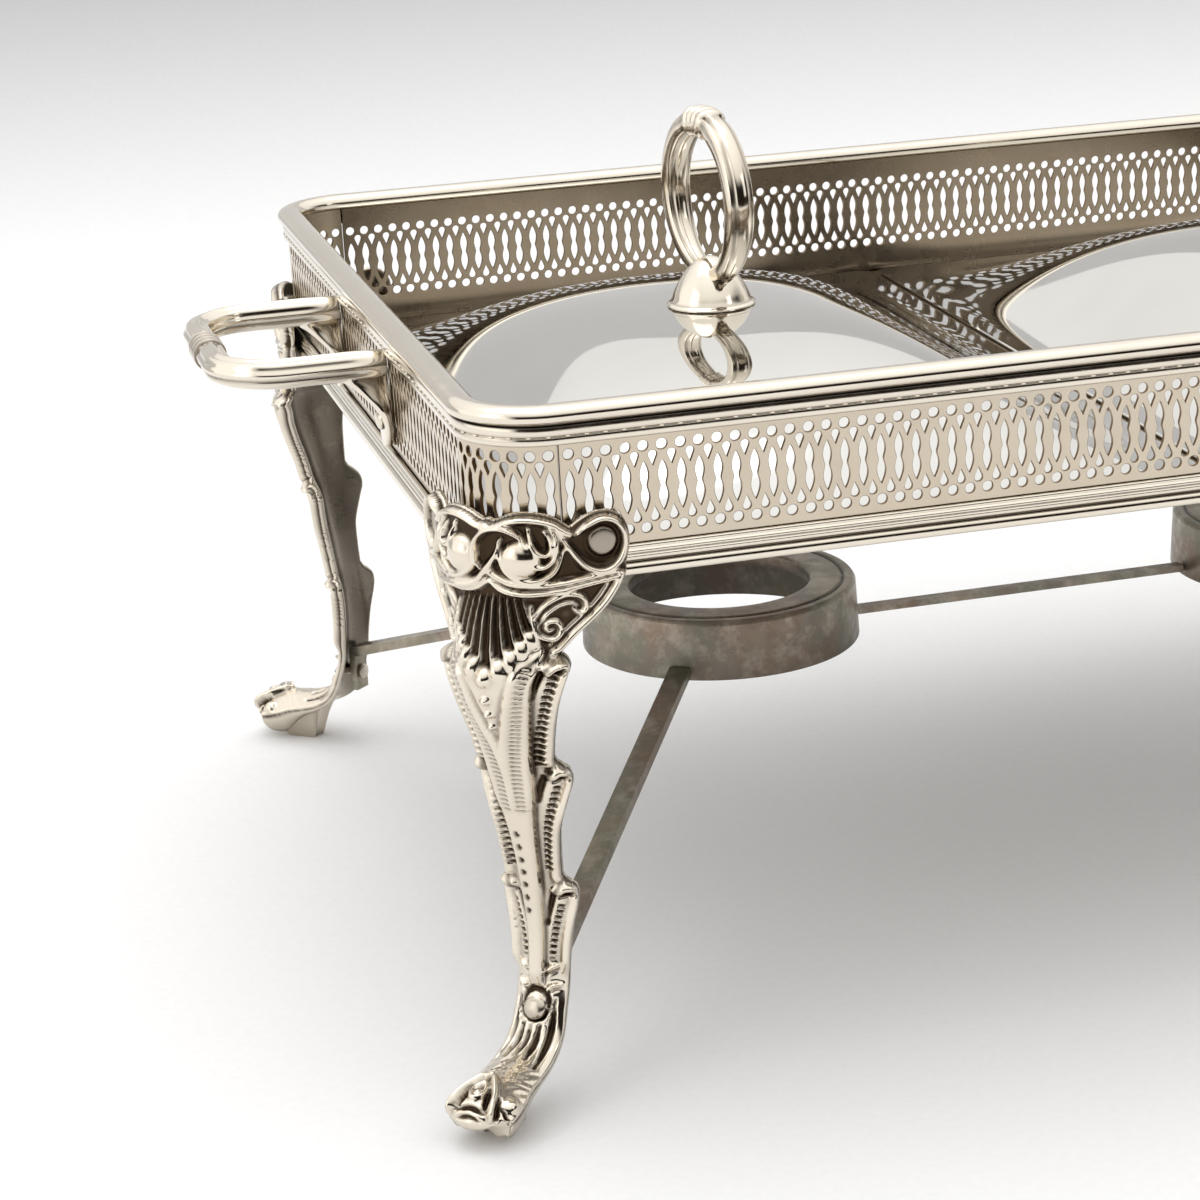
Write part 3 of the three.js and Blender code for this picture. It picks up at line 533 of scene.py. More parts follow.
def pierced_strip(sizes, run, columns):
    """A flat pierced strip, centred on 0: points of (along, height, depth below its face), and faces."""
    edge = sizes.edge / MM
    along = np.linspace(-run / 2, run / 2, 2 * columns + 1)
    up = np.linspace(BAND_LOW, BAND_TOP, 8)[1:-1]
    border = np.vstack([
        level_ring(along[:, None], BAND_LOW), [(run / 2, z) for z in up],
        level_ring(along[::-1, None], BAND_TOP), [(-run / 2, z) for z in up[::-1]],
    ])
    holes = hole_loops(sizes, run, columns)
    loops = [border, *holes]
    starts = np.cumsum([0] + [len(loop) for loop in loops])
    count = int(starts[-1])
    rings = [list(range(starts[k], starts[k + 1])) for k in range(len(loops))]
    # The faces lie back from the walls by the rounded edge
    face, wall = np.vstack([grown(border, -edge)] + [grown(loop, edge) for loop in holes]), np.vstack(loops)
    _, _, triangles, original, _, homes = delaunay_2d_cdt([Vector(p) for p in face], [], rings, 1, 1e-5)
    sheet = [tuple(original[i][0] for i in t) for t, home in zip(triangles, homes) if list(home) == [0]]
    layers = ((face, 0), (wall, edge), (wall, SHEET - edge), (face, SHEET))
    points = np.vstack([level_ring(plan, depth) for plan, depth in layers])
    faces = sheet + [tuple(3 * count + i for i in t[::-1]) for t in sheet]
    for k, ring in enumerate(rings):
        for here, after in zip(ring, ring[1:] + ring[:1]):
            for layer in range(3):
                near, far = layer * count, (layer + 1) * count
                quad = (here + near, here + far, after + far, after + near)
                faces.append(quad[:: -1 if k else 1])
    return points, faces


def flat_side(points, normal, distance):
    """Stands a strip up with its outer face that far from the middle, facing along the normal."""
    nx, ny = normal
    along, z, depth = points.T
    reach = distance - depth
    return np.column_stack([nx * reach - ny * along, ny * reach + nx * along, z])


def round_corner(points, sx, sy):
    """Bends a strip round the corner of those signs."""
    along, z, depth = points.T
    angle = math.atan2(sy, sx) + along / CORNER
    reach = CORNER - depth
    return np.column_stack([sx * AXIS_X + reach * np.cos(angle), sy * AXIS_Y + reach * np.sin(angle), z])


class StandGallery(bpy.types.Operator):
    """Builds the eight lengths of the pierced band"""

    bl_idname = "stand.gallery"
    bl_label = "Gallery"

    def execute(self, context):
        for side in ("front", "back", "left", "right"):
            normal, distance, _ = FLAT_SIDES[side]
            run = 2 * high(f"gallery_{side}")[0 if normal[1] else 1]
            self.place(context, f"gallery_{side}", run, lambda points: flat_side(points, normal, distance))
        for corner, (sx, sy) in CORNERS.items():
            node, run = f"gallery_corner_{corner}", CORNER * QUARTER - BUTT_GAP
            self.place(context, node, run, lambda points: round_corner(points, sx, sy))
        return {"FINISHED"}

    def place(self, context, node, run, shaped):
        sizes = context.scene.stand_gallery
        points, faces = pierced_strip(sizes, run, round(run / (sizes.pitch / MM)))
        depth = points[:, 2]
        # The inside of the band and the walls of the holes are never polished
        film = np.where(depth < 0.1, 0, np.where(depth < SHEET - 0.1, 0.95, 0.5))
        mesh = make_mesh(f"pierced_{node}", shaped(points), faces, 30, film)
        put(f"pierced_{node}", mesh, "stand", "pierced_silver_plate", [node])


# The beads in the top rim's channel: their height, and their radii across, along and up
BEAD_LEVEL = 174.1
BEAD_RADII = (0.42, 0.75, 0.3)


class StandRims(bpy.types.Operator):
    """Builds the rolled top rim and the moulded bottom rim"""

    bl_idname = "stand.rims"
    bl_label = "Rims"

    def execute(self, context):
        points, faces, film = moulded_frame(*self.top_profile())
        ball, ball_faces = self.bead()
        places = self.bead_places(context)
        beads = [(around_z(ball, angle) + centre, ball_faces) for centre, angle in places]
        whole, faces = joined((points, faces), *beads)
        film = np.concatenate([film, np.zeros(len(whole) - len(points))])
        put_silver("rolled_top_rim", make_mesh("rolled_top_rim", whole, faces, hollow=film), ["top_rim"])
        points, faces, film = moulded_frame(*self.bottom_profile())
        mesh = make_mesh("moulded_bottom_rim", points, faces, hollow=film)
        put_silver("moulded_bottom_rim", mesh, ["bottom_rim"])
        return {"FINISHED"}

    def top_profile(self):
        """A rolled crown over a reeded strip with a channel for the beads, and its film, with painted shade
        under the crown.
        """
        out, inner = RIM_OUT, -4.9
        crown = smooth_curve([
            (1.25, -4.3), (2.2, -3.85), (out - 0.05, -3), (out, -2.2), (2.3, -1.2), (1.3, -0.45),
            (0, -0.06), (-1.3, 0), (-2.7, -0.12), (-4, -0.75), (inner + 0.1, -1.9), (inner, -2.8),
            (-4.4, -3.8), (-3.2, -4.2), (-1.6, -4.1), (0.3, -4.1),
        ], 0.55)
        foot = low("top_rim")[2]
        strip = [
            (0.3, foot), (0.85, foot), (1.15, foot + 0.15), (1.3, foot + 0.5), (1.36, foot + 1),
            (1.36, 173.75), (1.28, 173.88), (1.08, 173.95), (1.02, BEAD_LEVEL), (1.08, 174.25),
            (1.28, 174.32), (1.38, 174.45), (1.4, 175), (1.38, 176.2), (1.25, 176.55), (0.85, 176.75),
            (0.62, 176.9), (0.62, 177.05), (0.85, 177.15),
        ]
        profile = np.vstack([strip, crown + (0, RIM_TOP), [(0.3, 174.5)]])
        film = np.zeros(len(profile))
        # Film in the bead channel, on the inside and at the foot; under the crown's overhang it is tarnish
        # and painted shade
        for first, last, share in ((5, 12, 0.25), (14, 20, 0.85), (-5, None, 0.5), (0, 3, 0.6)):
            film[first:last] = share
        return profile, film

    def bottom_profile(self):
        """Two torus mouldings with a groove between them, the ledge inside, and its film, with painted shade
        on the inside and the ledge.
        """
        inner, ledge = -9.5, LEDGE - RIM_FOOT
        profile = np.vstack([
            smooth_curve([
                (1.2, 0), (1.62, 0.2), (1.86, 0.75), (1.9, 1.3), (1.8, 2), (1.5, 2.6), (1.05, 2.95),
                (0.62, 3.1),
            ], 0.3),
            smooth_curve([
                (0.62, 3.3), (1.05, 3.45), (1.5, 3.8), (1.68, 4.3), (1.62, 4.75), (1.3, 5.05), (1.3, 5.2),
                (1.52, 5.5), (1.52, 5.95), (1.25, 6.25), (1.1, 6.4), (1.22, 6.75), (1.15, 7.2), (0.8, 7.5),
                (0.3, 7.5),
            ], 0.3),
            [(0.3, ledge)], rounded([(inner, ledge), (inner, 0), (1.2, 0)], 0.4)[3:-4],
        ])
        x, z = profile.T
        outside = x > 0
        film = outside * np.maximum(0.9 * bell_curve(z, 3.2, 0.35), 0.5 * bell_curve(z, 5.12, 0.16))
        # The inside and the ledge are darkened by half: tarnish, and painted shade where they lie under the
        # band and the lids
        return profile + (0, RIM_FOOT), np.maximum(film, np.where(x < 0.4, 0.5, 0))

    def bead(self):
        """An ellipsoid with its long way along the band."""
        profile = [(math.sin(t), -math.cos(t)) for t in np.linspace(0, math.pi, 7)]
        profile[0], profile[-1] = (0, -1), (0, 1)
        points, faces = turned(profile, 8)
        return points * np.array(BEAD_RADII), faces

    def bead_places(self, context):
        """Places and outward directions of the beads, one between each two columns of holes."""
        pitch, offset = context.scene.stand_gallery.pitch / MM, 1.2
        places = []
        for (nx, ny), distance, half in FLAT_SIDES.values():
            count = round(2 * half / pitch)
            for k in range(count):
                along = (k + 0.5) / count * 2 * half - half
                reach = distance + offset
                place = (nx * reach - ny * along, ny * reach + nx * along, BEAD_LEVEL)
                places.append((place, math.atan2(ny, nx)))
        count = round(CORNER * QUARTER / pitch)
        for sx, sy in CORNERS.values():
            for k in range(count):
                a = math.atan2(sy, sx) + ((k + 0.5) / count - 0.5) * QUARTER
                reach = CORNER + offset
                x, y = sx * AXIS_X + reach * math.cos(a), sy * AXIS_Y + reach * math.sin(a)
                places.append(((x, y, BEAD_LEVEL), a))
        return places


def run_along(curve):
    """How far along a curve each of its points lies."""
    return np.concatenate([[0], np.cumsum(np.linalg.norm(np.diff(curve, axis=0), axis=1))])


def spread(curve, x, y):
    """Distance from each point to a curve, and the share of the curve's length where it is nearest."""
    best = np.full(len(x), 1e9)
    share = np.zeros(len(x))
    run = run_along(curve)
    for i, a in enumerate(curve[:-1]):
        d = curve[i + 1] - a
        t = np.clip(((x - a[0]) * d[0] + (y - a[1]) * d[1]) / max(d @ d, 1e-9), 0, 1)
        gap = np.hypot(x - a[0] - t * d[0], y - a[1] - t * d[1])
        nearer = gap < best
        best[nearer] = gap[nearer]
        share[nearer] = ((run[i] + t * (run[i + 1] - run[i])) / run[-1])[nearer]
    return best, share


class Relief:
    """Heights over the flat-laid front of the leg: u across it and w up it, in millimetres."""

    def __init__(self, u, w):
        self.u, self.w = u, w
        self.height, self.film, self.fine = np.zeros((3, len(u)))

    def near(self, points, reach, mirror):
        """A curve, the leg's points near it, and each one's distance and share of the run."""
        curve = smooth_curve(points, 1.0)
        x = np.abs(self.u) if mirror else self.u
        lo, hi = curve.min(axis=0) - reach, curve.max(axis=0) + reach
        at = np.flatnonzero((x > lo[0]) & (x < hi[0]) & (self.w > lo[1]) & (self.w < hi[1]))
        return curve, at, *spread(curve, x[at], self.w[at])

    def darken(self, at, film):
        self.film[at] = np.maximum(self.film[at], film)

    def roll(self, points, half_width, height, mirror=True, taper=0.25, over=False):
        """A raised round strand along a curve, or a groove where the height is below zero."""
        _, at, gap, share = self.near(points, half_width + 0.5, mirror)
        ends = np.clip(np.minimum(share, 1 - share) / taper, 0.35, 1) if taper else 1
        round_off = dome(gap / (half_width * ends))
        if over:
            on = round_off > 0
            self.height[at[on]] = np.maximum(self.height[at[on]], height * round_off[on])
        else:
            self.height[at] += height * round_off
        if height < -1:
            self.darken(at, 0.85 * round_off)

    def boss(self, centre, radii, height, mirror=True, power=0.5, lean=0):
        """A raised oval. Its top leans inwards by that much for each millimetre of height."""
        x = (np.abs(self.u) if mirror else self.u) - centre[0]
        y = self.w - centre[1]
        r = np.clip(1 - ((x + lean * y) / radii[0]) ** 2 - (y / radii[1]) ** 2, 0, None)
        on = r > 0
        self.height[on] = np.maximum(self.height[on], height * r[on] ** power)
        return on

    def ring(self, centre, radius, half_width, height, mirror=True):
        """A sunk ring, with film in it."""
        x = np.abs(self.u) if mirror else self.u
        round_off = dome((np.hypot(x - centre[0], self.w - centre[1]) - radius) / half_width)
        self.height += height * round_off
        self.darken(slice(None), 0.9 * round_off)

    def ladder(self, points, half_width, depth, pitch, film=0.5):
        """A sunk channel with rungs across it."""
        curve, at, gap, share = self.near(points, half_width, True)
        run = np.linalg.norm(np.diff(curve, axis=0), axis=1).sum()
        rungs = 0.5 + 0.5 * np.cos(2 * np.pi * share * run / pitch)
        fall = np.clip((half_width - gap) / 0.35, 0, 1)
        fall *= np.clip(np.minimum(share, 1 - share) * run / 0.8, 0, 1)
        self.fine[at] += depth * fall * (rungs**1.5 - 0.75)
        self.darken(at, film * fall * (1 - rungs))


# Half of the leg's outline, laid flat from the top down: the plate, three leaves and the foot
LEG_OUTLINE = [[
    (0, 154.9), (1.5, 154.6), (3, 155), (5.5, 156), (9, 156.6), (13, 156.2), (16.5, 155), (19, 153.2),
    (20.5, 152.4), (22.5, 153.6), (25, 154.9), (28, 155.6), (31, 155), (33.2, 153), (34.3, 150),
    (34.2, 146), (33.4, 142.5), (33.4, 140.5), (32.2, 137), (30, 133.6), (27, 130.4), (23, 127.2),
    (20, 125), (17.5, 122.9), (15.6, 121.5),
], [
    (14.9, 121.2), (16.2, 120.2), (16.7, 118.6), (16.1, 116.7), (15, 114.6), (13.5, 111.9), (12.1, 109),
    (10.9, 106), (10, 103), (9.3, 100), (8.8, 97), (8.4, 93.8),
], [
    (9.2, 92.2), (10.6, 90.9), (11.9, 89.3), (12.5, 87.3), (12.3, 85.2), (11.3, 82.8), (10.2, 80),
    (9.1, 77.2), (8.2, 74.4), (7.7, 71), (7.3, 66), (7.1, 60.9),
], [
    (8, 59.2), (9.4, 58), (10.5, 56.6), (10.8, 54.6), (10.4, 52), (9.7, 49.4), (9, 46.6), (8.5, 43.4),
    (8.3, 40), (8.3, 36.5), (8.5, 33),
], [
    (8.6, 29), (8.8, 24), (9.2, 19), (9.6, 14), (9.9, 9), (10.4, 4), (11.4, 0), (12, -4), (12.1, -7.5),
    (11.8, -11), (11, -13.8), (9.4, -16.2), (6.6, -17.8), (3.4, -18.7), (0, -19),
]]
# The front seen from the side: distance from the corner's axis, and height
LEG_FRONT = [
    (24.99, 158.5), (24.99, 147), (24.89, 136), (23.2, 117), (19.3, 99), (16.6, 77.9), (14.5, 60.3),
    (14.1, 45.3), (16, 33), (18.4, 26), (20.5, 21.5), (23.5, 18.6), (28, 16.8), (33, 15.9), (38, 15.3),
    (44, 14.3), (48, 13.4), (50.4, 11.6), (51.4, 9.4), (51.4, 7.7), (50.6, 6.4), (49, 5.4),
]
# How far the knee swells in front of that line, by height
LEG_SWELL = [
    (-25, 0), (28, 0), (33, 0.2), (45, 0.9), (57, 1.6), (72, 2.4), (88, 3.9), (98, 5.2), (105, 6.2),
    (112, 6.8), (118, 6.6), (124, 5.4), (130, 3.5), (136, 1.1), (140, 0), (160, 0),
]
# Height from which the leg is laid flat along its instep and toe
LEG_ANKLE = 33
# Radius across the front: of the shaft, and of the plate round the gallery's corner
SHAFT_BOW, PLATE_BOW = 10.5, 24.99
# How far the casting's side wall swells between its front and its back
EDGE_SWELL = 0.55
# How far the toes reach out, as distance along the diagonal and across it added up
TOE_LIMIT = 59.6
# The stud for the nut: where it starts, from the corner's axis, and its height
STUD_START, STUD_LEVEL = 16.4, 149.5
# Thickness of the casting along the foot: the place, at its border, and down its middle to the sole
LEG_DEPTH = [
    (-19, 2.3, 2.3), (-14, 2.6, 3.1), (-11, 3.3, 5.2), (-8, 5.3, 8.1), (-4.6, 7.1, 10.2), (-1.5, 8, 12.2),
    (0.5, 8, 15), (2, 7.2, 17), (4, 6.2, 17), (5.7, 4.8, 17), (9, 3.3, 17), (11, 2.8, 9), (13, 2.6, 4),
    (16, 2.4, 2.6), (33, 2.3, 2.3),
]
# Half width of the blade down the middle of the shaft, by height
BLADE = [
    (30, 1.9), (45, 2), (50, 2.1), (55, 2.3), (60, 2.5), (65, 2.6), (70, 2.8), (75, 3.1), (80, 3.5),
    (85, 4.1), (90, 4.4), (95, 4.6), (100, 5), (105, 5.7), (110, 6.8), (115, 8.3), (118, 9.6), (122, 12),
]


def leg_outline():
    right = np.vstack([smooth_curve(part, 0.5) for part in LEG_OUTLINE])
    return np.vstack([right, right[::-1][1:-1] * (-1, 1)])


def signed_distance(outline, u, w):
    """Distance inside a closed outline, negative outside it, and the nearest point on it."""
    a, b = outline, np.roll(outline, -1, axis=0)
    best = np.full(len(u), 1e9)
    nearest = np.zeros((len(u), 2))
    inside = np.zeros(len(u), bool)
    for p, q in zip(a, b):
        d = q - p
        t = np.clip(((u - p[0]) * d[0] + (w - p[1]) * d[1]) / max(d @ d, 1e-12), 0, 1)
        x, y = p[0] + t * d[0], p[1] + t * d[1]
        gap = np.hypot(u - x, w - y)
        closer = gap < best
        best[closer] = gap[closer]
        nearest[closer, 0], nearest[closer, 1] = x[closer], y[closer]
        if p[1] != q[1]:
            crosses = (p[1] > w) != (q[1] > w)
            inside ^= crosses & (u < p[0] + (w - p[1]) / (q[1] - p[1]) * d[0])
    return np.where(inside, best, -best), nearest


class LegShape:
    """The curved sheet of the leg: from flat-laid (u, w, height) to (out from the corner, side, z)."""

    def __init__(self):
        front = smooth_curve(LEG_FRONT, 0.5)
        ankle = np.flatnonzero(front[:, 1] >= LEG_ANKLE)[-1]
        w = front[:, 1].copy()
        w[ankle:] = w[ankle] - run_along(front[ankle:])
        order = np.argsort(w)
        self.w, self.d, self.z = w[order], front[order, 0], front[order, 1]

    def base(self, u, w, height):
        """Points at that height over the front."""
        grid = np.linspace(self.w[0], 160, 700)
        lines = [np.interp(grid, self.w, line) for line in (self.d, self.z)]
        slope = [np.interp(w, grid, np.gradient(line, grid)) for line in lines]
        td, tz = slope / np.hypot(*slope)
        bow = SHAFT_BOW + (PLATE_BOW - SHAFT_BOW) * smoothstep(w, 96.4, 134.2)
        swell = np.interp(w, *np.array(LEG_SWELL).T) * (1 - 0.25 * np.minimum(np.abs(u) / 12, 1.3) ** 2)
        height = height + swell * np.exp(-((u / 13) ** 2) * smoothstep(w, 118, 124))
        limit = bow * math.pi / 4
        a = np.minimum(np.abs(u), limit) / bow
        wing = np.maximum(np.abs(u) - limit, 0)
        side = np.sign(u) * ((bow + height) * np.sin(a) + wing / math.sqrt(2))
        back = bow - (bow + height) * np.cos(a) + wing / math.sqrt(2)
        d, z = np.interp(w, self.w, self.d), np.interp(w, self.w, self.z)
        return np.column_stack([d - tz * back, side, z + td * back])


def leg_relief(u, w, inside, scale):
    """The ornament of the leg: its modelled heights, its finer cuts, and the film in its hollows."""
    r = Relief(u, w)
    x = np.abs(u)
    # Fan: wide sunk flutes between thin crests, each running out below in a raised drop
    spacing = 1.72 + 0.062 * np.clip(136.5 - w, 0, 30)
    phase = u / spacing + 0.5
    which = np.floor(phase)
    foot = 119.2 + 1.8 * np.abs(which)
    top = 136.7 - 0.25 * np.cos(2 * np.pi * phase)
    flute = np.sin(np.pi * (phase - which)) ** 0.75
    fan = (np.abs(which) <= 4) * np.clip((w - foot) / 1.2, 0, 1) * np.clip((top - w) / 0.5, 0, 1)
    r.height += fan * (1.6 - 2.6 * flute)
    r.film += 0.6 * fan * flute
    # Border of the plate's lower wings
    wing = (x > 12) * (w < 140.8) * smoothstep(w, 120.8, 122.5) * smoothstep(x, 11.5, 14)
    r.height += wing * 1.9 * dome((inside - 1.1) / 1.1)
    r.height += wing * 1.0 * dome((inside - 3.3) / 0.5)
    for line, wide, rise in (
        ([(0, 142.6), (2.5, 141), (6, 139.7), (12, 139.2), (20, 139.6), (31, 141)], 1.0, 2.0),
        ([(0.3, 140.2), (4, 137.9), (10, 137), (20, 137.6), (31, 139)], 0.85, 1.6),
    ):
        r.roll(line, wide, rise, taper=0, over=True)
    # Scrolls under the moulding
    r.roll([(10.6, 131.4), (13.5, 134.4), (17.4, 136), (20.8, 135.7), (22.8, 133.9), (22.4, 131.6),
            (20.6, 131.2), (19.9, 132.6)], 0.7, 1.7)
    r.roll([(11.4, 129.6), (14, 132.3), (17, 133.8), (19.8, 133.8), (21, 132.9)], 0.5, 1.3)
    r.roll([(9.9, 134), (10.3, 130), (11.2, 127), (13.4, 125.4), (15.6, 126.2), (16.2, 128.2), (15, 129.9),
            (13.2, 129.6), (12.8, 128.2), (13.6, 127.4), (14.6, 127.9)], 0.6, 1.6)
    # Lobes of the top: an orb and its crescents, a leaf loop, a wave ring round a flat boss
    arch = (w > 150) * (x < 20.5)
    r.height += arch * 2.1 * dome((inside - 1.1) / 1.1)
    r.boss((8.2, 145.6), (5.2, 4.9), 3.4)
    r.roll([(3.2, 150.2), (3.2, 146), (5, 142.4), (8.5, 140.6), (12.5, 140.6), (15.8, 142.6),
            (17.6, 145.8), (18.6, 148.6)], 0.9, 2.3, over=True)
    r.roll([(9.2, 146.8), (10.8, 144.6), (13.2, 143.8), (15.6, 145.4), (16.6, 148.2), (16.4, 151),
            (15, 153.2)], 0.8, 2.9, over=True)
    r.roll([(10.2, 153.4), (10.8, 150.4), (12.2, 147.6), (14, 146.6), (15.3, 147.8), (15.2, 150.4),
            (14, 152.4)], 0.65, 2.8, over=True)
    r.roll([(-2.4, 142.8), (-3.6, 146.2), (-2.8, 149.8), (0, 152.6), (4, 153.4), (7.4, 152), (9.4, 149.6),
            (10.2, 148.6)], 0.85, 3.0, mirror=False, over=True)
    r.roll([(-20, 136.5), (-12, 137.8), (-4, 139.5), (0, 143.3), (2.6, 147.5), (3.4, 150.5)], 1.2, 2.8,
           mirror=False, over=True)
    r.roll([(16.8, 152.4), (18.8, 149.2), (21, 145.8), (24, 142.8), (27.6, 141.6), (31, 143), (33, 146.2),
            (33.2, 150), (31.4, 153.2), (28, 154.4), (24.6, 153.2), (21.6, 151)],
           1.05, 2.3, taper=0.12, over=True)
    disc = r.boss((28, 148.8), (3.6, 3.6), 0.9, power=0.22)
    r.film[disc] = 0.5
    r.ring((28, 148.8), 4.3, 0.4, -0.6)
    # Blade down the middle of the shaft, between two ribbed channels, with a row of dimples up it
    blade = np.interp(w, *np.array(BLADE).T)
    below_fan = smoothstep(119.4 + 0.45 * x - w, 0, 1.5) * (w < 126)
    on_shaft = smoothstep(w, 29, 34) * below_fan
    share = np.clip(x / blade, 0, 1)
    r.height += on_shaft * 1.9 * (1 - share**6) ** 0.5
    r.height -= on_shaft * 0.7 * bell_curve(x, blade + 0.25, 0.4)
    ribbed = [(8.3, 120.4), (7.2, 118), (6, 115), (4.7, 110), (3.6, 105), (2.7, 100), (2.1, 95),
              (1.75, 90), (1.6, 85), (1.5, 79)]
    r.ladder(ribbed, 1.1, 0.42, 1.3, 0.25)
    offset = np.array(ribbed)
    r.roll(offset + (-1.8, 0), 0.7, 0.9, taper=0.05)
    r.roll(offset + (1.75, 0), 0.6, 0.8, taper=0.05)
    r.roll(offset[:6] + (-3.1, -1), 0.4, -0.6, taper=0.3)
    for k in range(7):
        dimple = r.boss((-0.5, 51.3 + 3.65 * k), (0.5, 0.85), 0, mirror=False)
        r.fine[dimple] -= 0.45
        r.film[dimple] = 0.9
    # Three tiers of leaves: a channel of oval dots, a rolled edge, and a tip curled outwards
    leaf = (w < 121) * smoothstep(w, 33, 38) * smoothstep(x - blade, 0.2, 1.2)
    r.height += leaf * 2.1 * dome((inside - 1.2) / 1.2)
    r.ladder([(12.7, 117.2), (11.3, 114), (10.2, 112), (9.2, 109), (8.3, 106.5), (7.4, 103.5), (6.8, 101),
              (6.3, 98), (6, 95), (5.9, 91.5)], 1.05, 1.1, 1.75)
    r.ladder([(8.6, 86), (7.6, 83), (6.7, 80), (6, 77), (5.5, 74), (5.1, 70), (4.8, 66), (4.6, 62)],
             0.95, 1.0, 1.6)
    r.ladder([(6.5, 52.8), (5.8, 50), (5, 47), (4.5, 44), (4.1, 41), (3.9, 37.6)], 0.95, 1.0, 1.6)
    for tip, cut in (
        ([(10.8, 118.2), (13, 119.6), (15, 119.4)], [(11.6, 116.9), (13.4, 118), (15.6, 117.9)]),
        ([(6.6, 88.6), (8.6, 90.2), (11, 89.4)], [(7.6, 87), (9.4, 88), (11.4, 87.6)]),
        ([(5, 55.8), (6.8, 57.6), (9.2, 57)], [(6, 54.4), (7.6, 55.4), (9.8, 55.2)]),
    ):
        r.roll(tip, 1.5, 3.0, taper=0.1, over=True)
        r.roll(cut, 0.65, -1.5, taper=0.3)
    for crease in (
        [(13.6, 120.8), (11.5, 119.3), (9, 116), (7.4, 112)],
        [(8.6, 93.4), (7, 90.6), (5.6, 87), (4.7, 82)],
        [(7.2, 60), (5.4, 57), (3.8, 52), (2.9, 47)],
    ):
        r.roll(crease, 0.75, -1.5, taper=0.4)
    for k in range(-4, 5):
        level = 118.1 + 1.9 * abs(k)
        place, rise = (k * (1.72 + 0.062 * (136.5 - level)), level), 3.4 - 0.45 * abs(k)
        drop = r.boss(place, (1.65, 2.6), rise, mirror=False, lean=0.062 * k)
        r.film[drop] = 0
    for z, size in ((113.2, 1.0), (109.6, 0.9), (106, 0.8)):
        drop = r.boss((0, z), (size, size * 1.1), 3.9, mirror=False)
        r.film[drop] = 0
    # Two small leaves beside the ankle, a seat for the rivet, flutes down the instep
    r.roll([(2, 34.4), (3.8, 35.6), (5.4, 36.4)], 0.75, 1.5)
    r.roll([(2, 33.6), (3.8, 34.6), (5.5, 35.4)], 0.35, -0.8)
    r.roll([(2.6, 29), (4.2, 31), (6.6, 31.6)], 0.7, 1.4)
    r.roll([(3.2, 28.6), (4.8, 30.2), (6.8, 30.6)], 0.35, -0.8)
    r.ring((0, 26), 3.9, 0.75, -1.3, mirror=False)
    r.roll([(0, 21), (0, 17), (0, 11.5)], 0.75, -1.3, mirror=False, taper=0.4)
    r.roll([(2.4, 21), (2.5, 17), (2.9, 11)], 0.95, -1.7, taper=0.4)
    r.roll([(5.4, 27.5), (5.6, 21), (5.9, 16), (6.4, 10)], 0.95, -1.6, taper=0.4)
    for place in ((3.9, 25.2), (4.2, 23.6), (3.8, 22.2)):
        r.boss(place, (0.6, 0.6), 1.0)
    # The toe: a V of two ridges round a drop, with lobes at the sides
    r.roll([(0, 1.2), (2, -1.8), (4.1, -6), (5.6, -10.5), (6.1, -14)], 1.0, 2.4, taper=0.15)
    r.roll([(5.6, -5.4), (6.9, -9.4), (7.3, -13.6)], 0.8, -1.9, taper=0.3)
    r.roll([(2.2, -4.6), (3.3, -7.8), (3.8, -11)], 0.75, -1.8, taper=0.3)
    r.roll([(0, -2.4), (1.3, -4.6), (1.7, -6.6), (1, -8.2), (0, -8.7)], 0.55, 1.7, taper=0)
    r.boss((0, -6.4), (0.8, 1.3), 1.3, mirror=False)
    r.roll([(-4.2, -12.2), (-2, -11.4), (0, -11), (2, -11.4), (4.2, -12.2)], 0.75, -1.6, mirror=False)
    r.roll([(-3.4, -14.6), (-1.6, -13.9), (0, -13.6), (1.6, -13.9), (3.4, -14.6)], 0.6, -1.3, mirror=False)
    r.roll([(7.4, -7.4), (9, -8), (10, -9.8), (10.3, -12)], 0.85, -1.8, taper=0.3)
    r.boss((9, -4.4), (2.2, 2.6), 1.4, power=0.8)
    # Skin of the instep, left as cast
    grain = np.sin(u * 2.9 + 1.3 * np.sin(w * 0.9)) * np.sin(w * 2.3 + u)
    r.height += 0.12 * grain * smoothstep(w, -2, 2) * (1 - smoothstep(w, 8, 11))
    return r.height * scale, r.fine * scale, r.film


def boundary_loops(faces):
    """Loops of point numbers along the open edges of some faces, in the faces' own sense."""
    after = {}
    open_edges = set()
    for face in faces:
        for a, b in zip(face, face[1:] + face[:1]):
            if (b, a) in open_edges:
                open_edges.remove((b, a))
            else:
                open_edges.add((a, b))
    for a, b in open_edges:
        after.setdefault(a, []).append(b)
    loops = []
    while after:
        first = min(after)
        loop, here = [], first
        while here in after:
            loop.append(here)
            onward = after[here].pop()
            if not after[here]:
                del after[here]
            here = onward
        loops.append(loop)
    return loops


def softened(values, used, grid, rounds):
    """Values on some points of a grid, averaged with their neighbours that many times."""
    total, weight = np.zeros(grid), np.zeros(grid)
    total.ravel()[used] = values
    weight.ravel()[used] = 1
    for _ in range(rounds):
        for axis in (0, 1):
            total = (np.roll(total, 1, axis) + total * 2 + np.roll(total, -1, axis)) / 4
            weight = (np.roll(weight, 1, axis) + weight * 2 + np.roll(weight, -1, axis)) / 4
    return (total / np.maximum(weight, 1e-6)).ravel()[used]


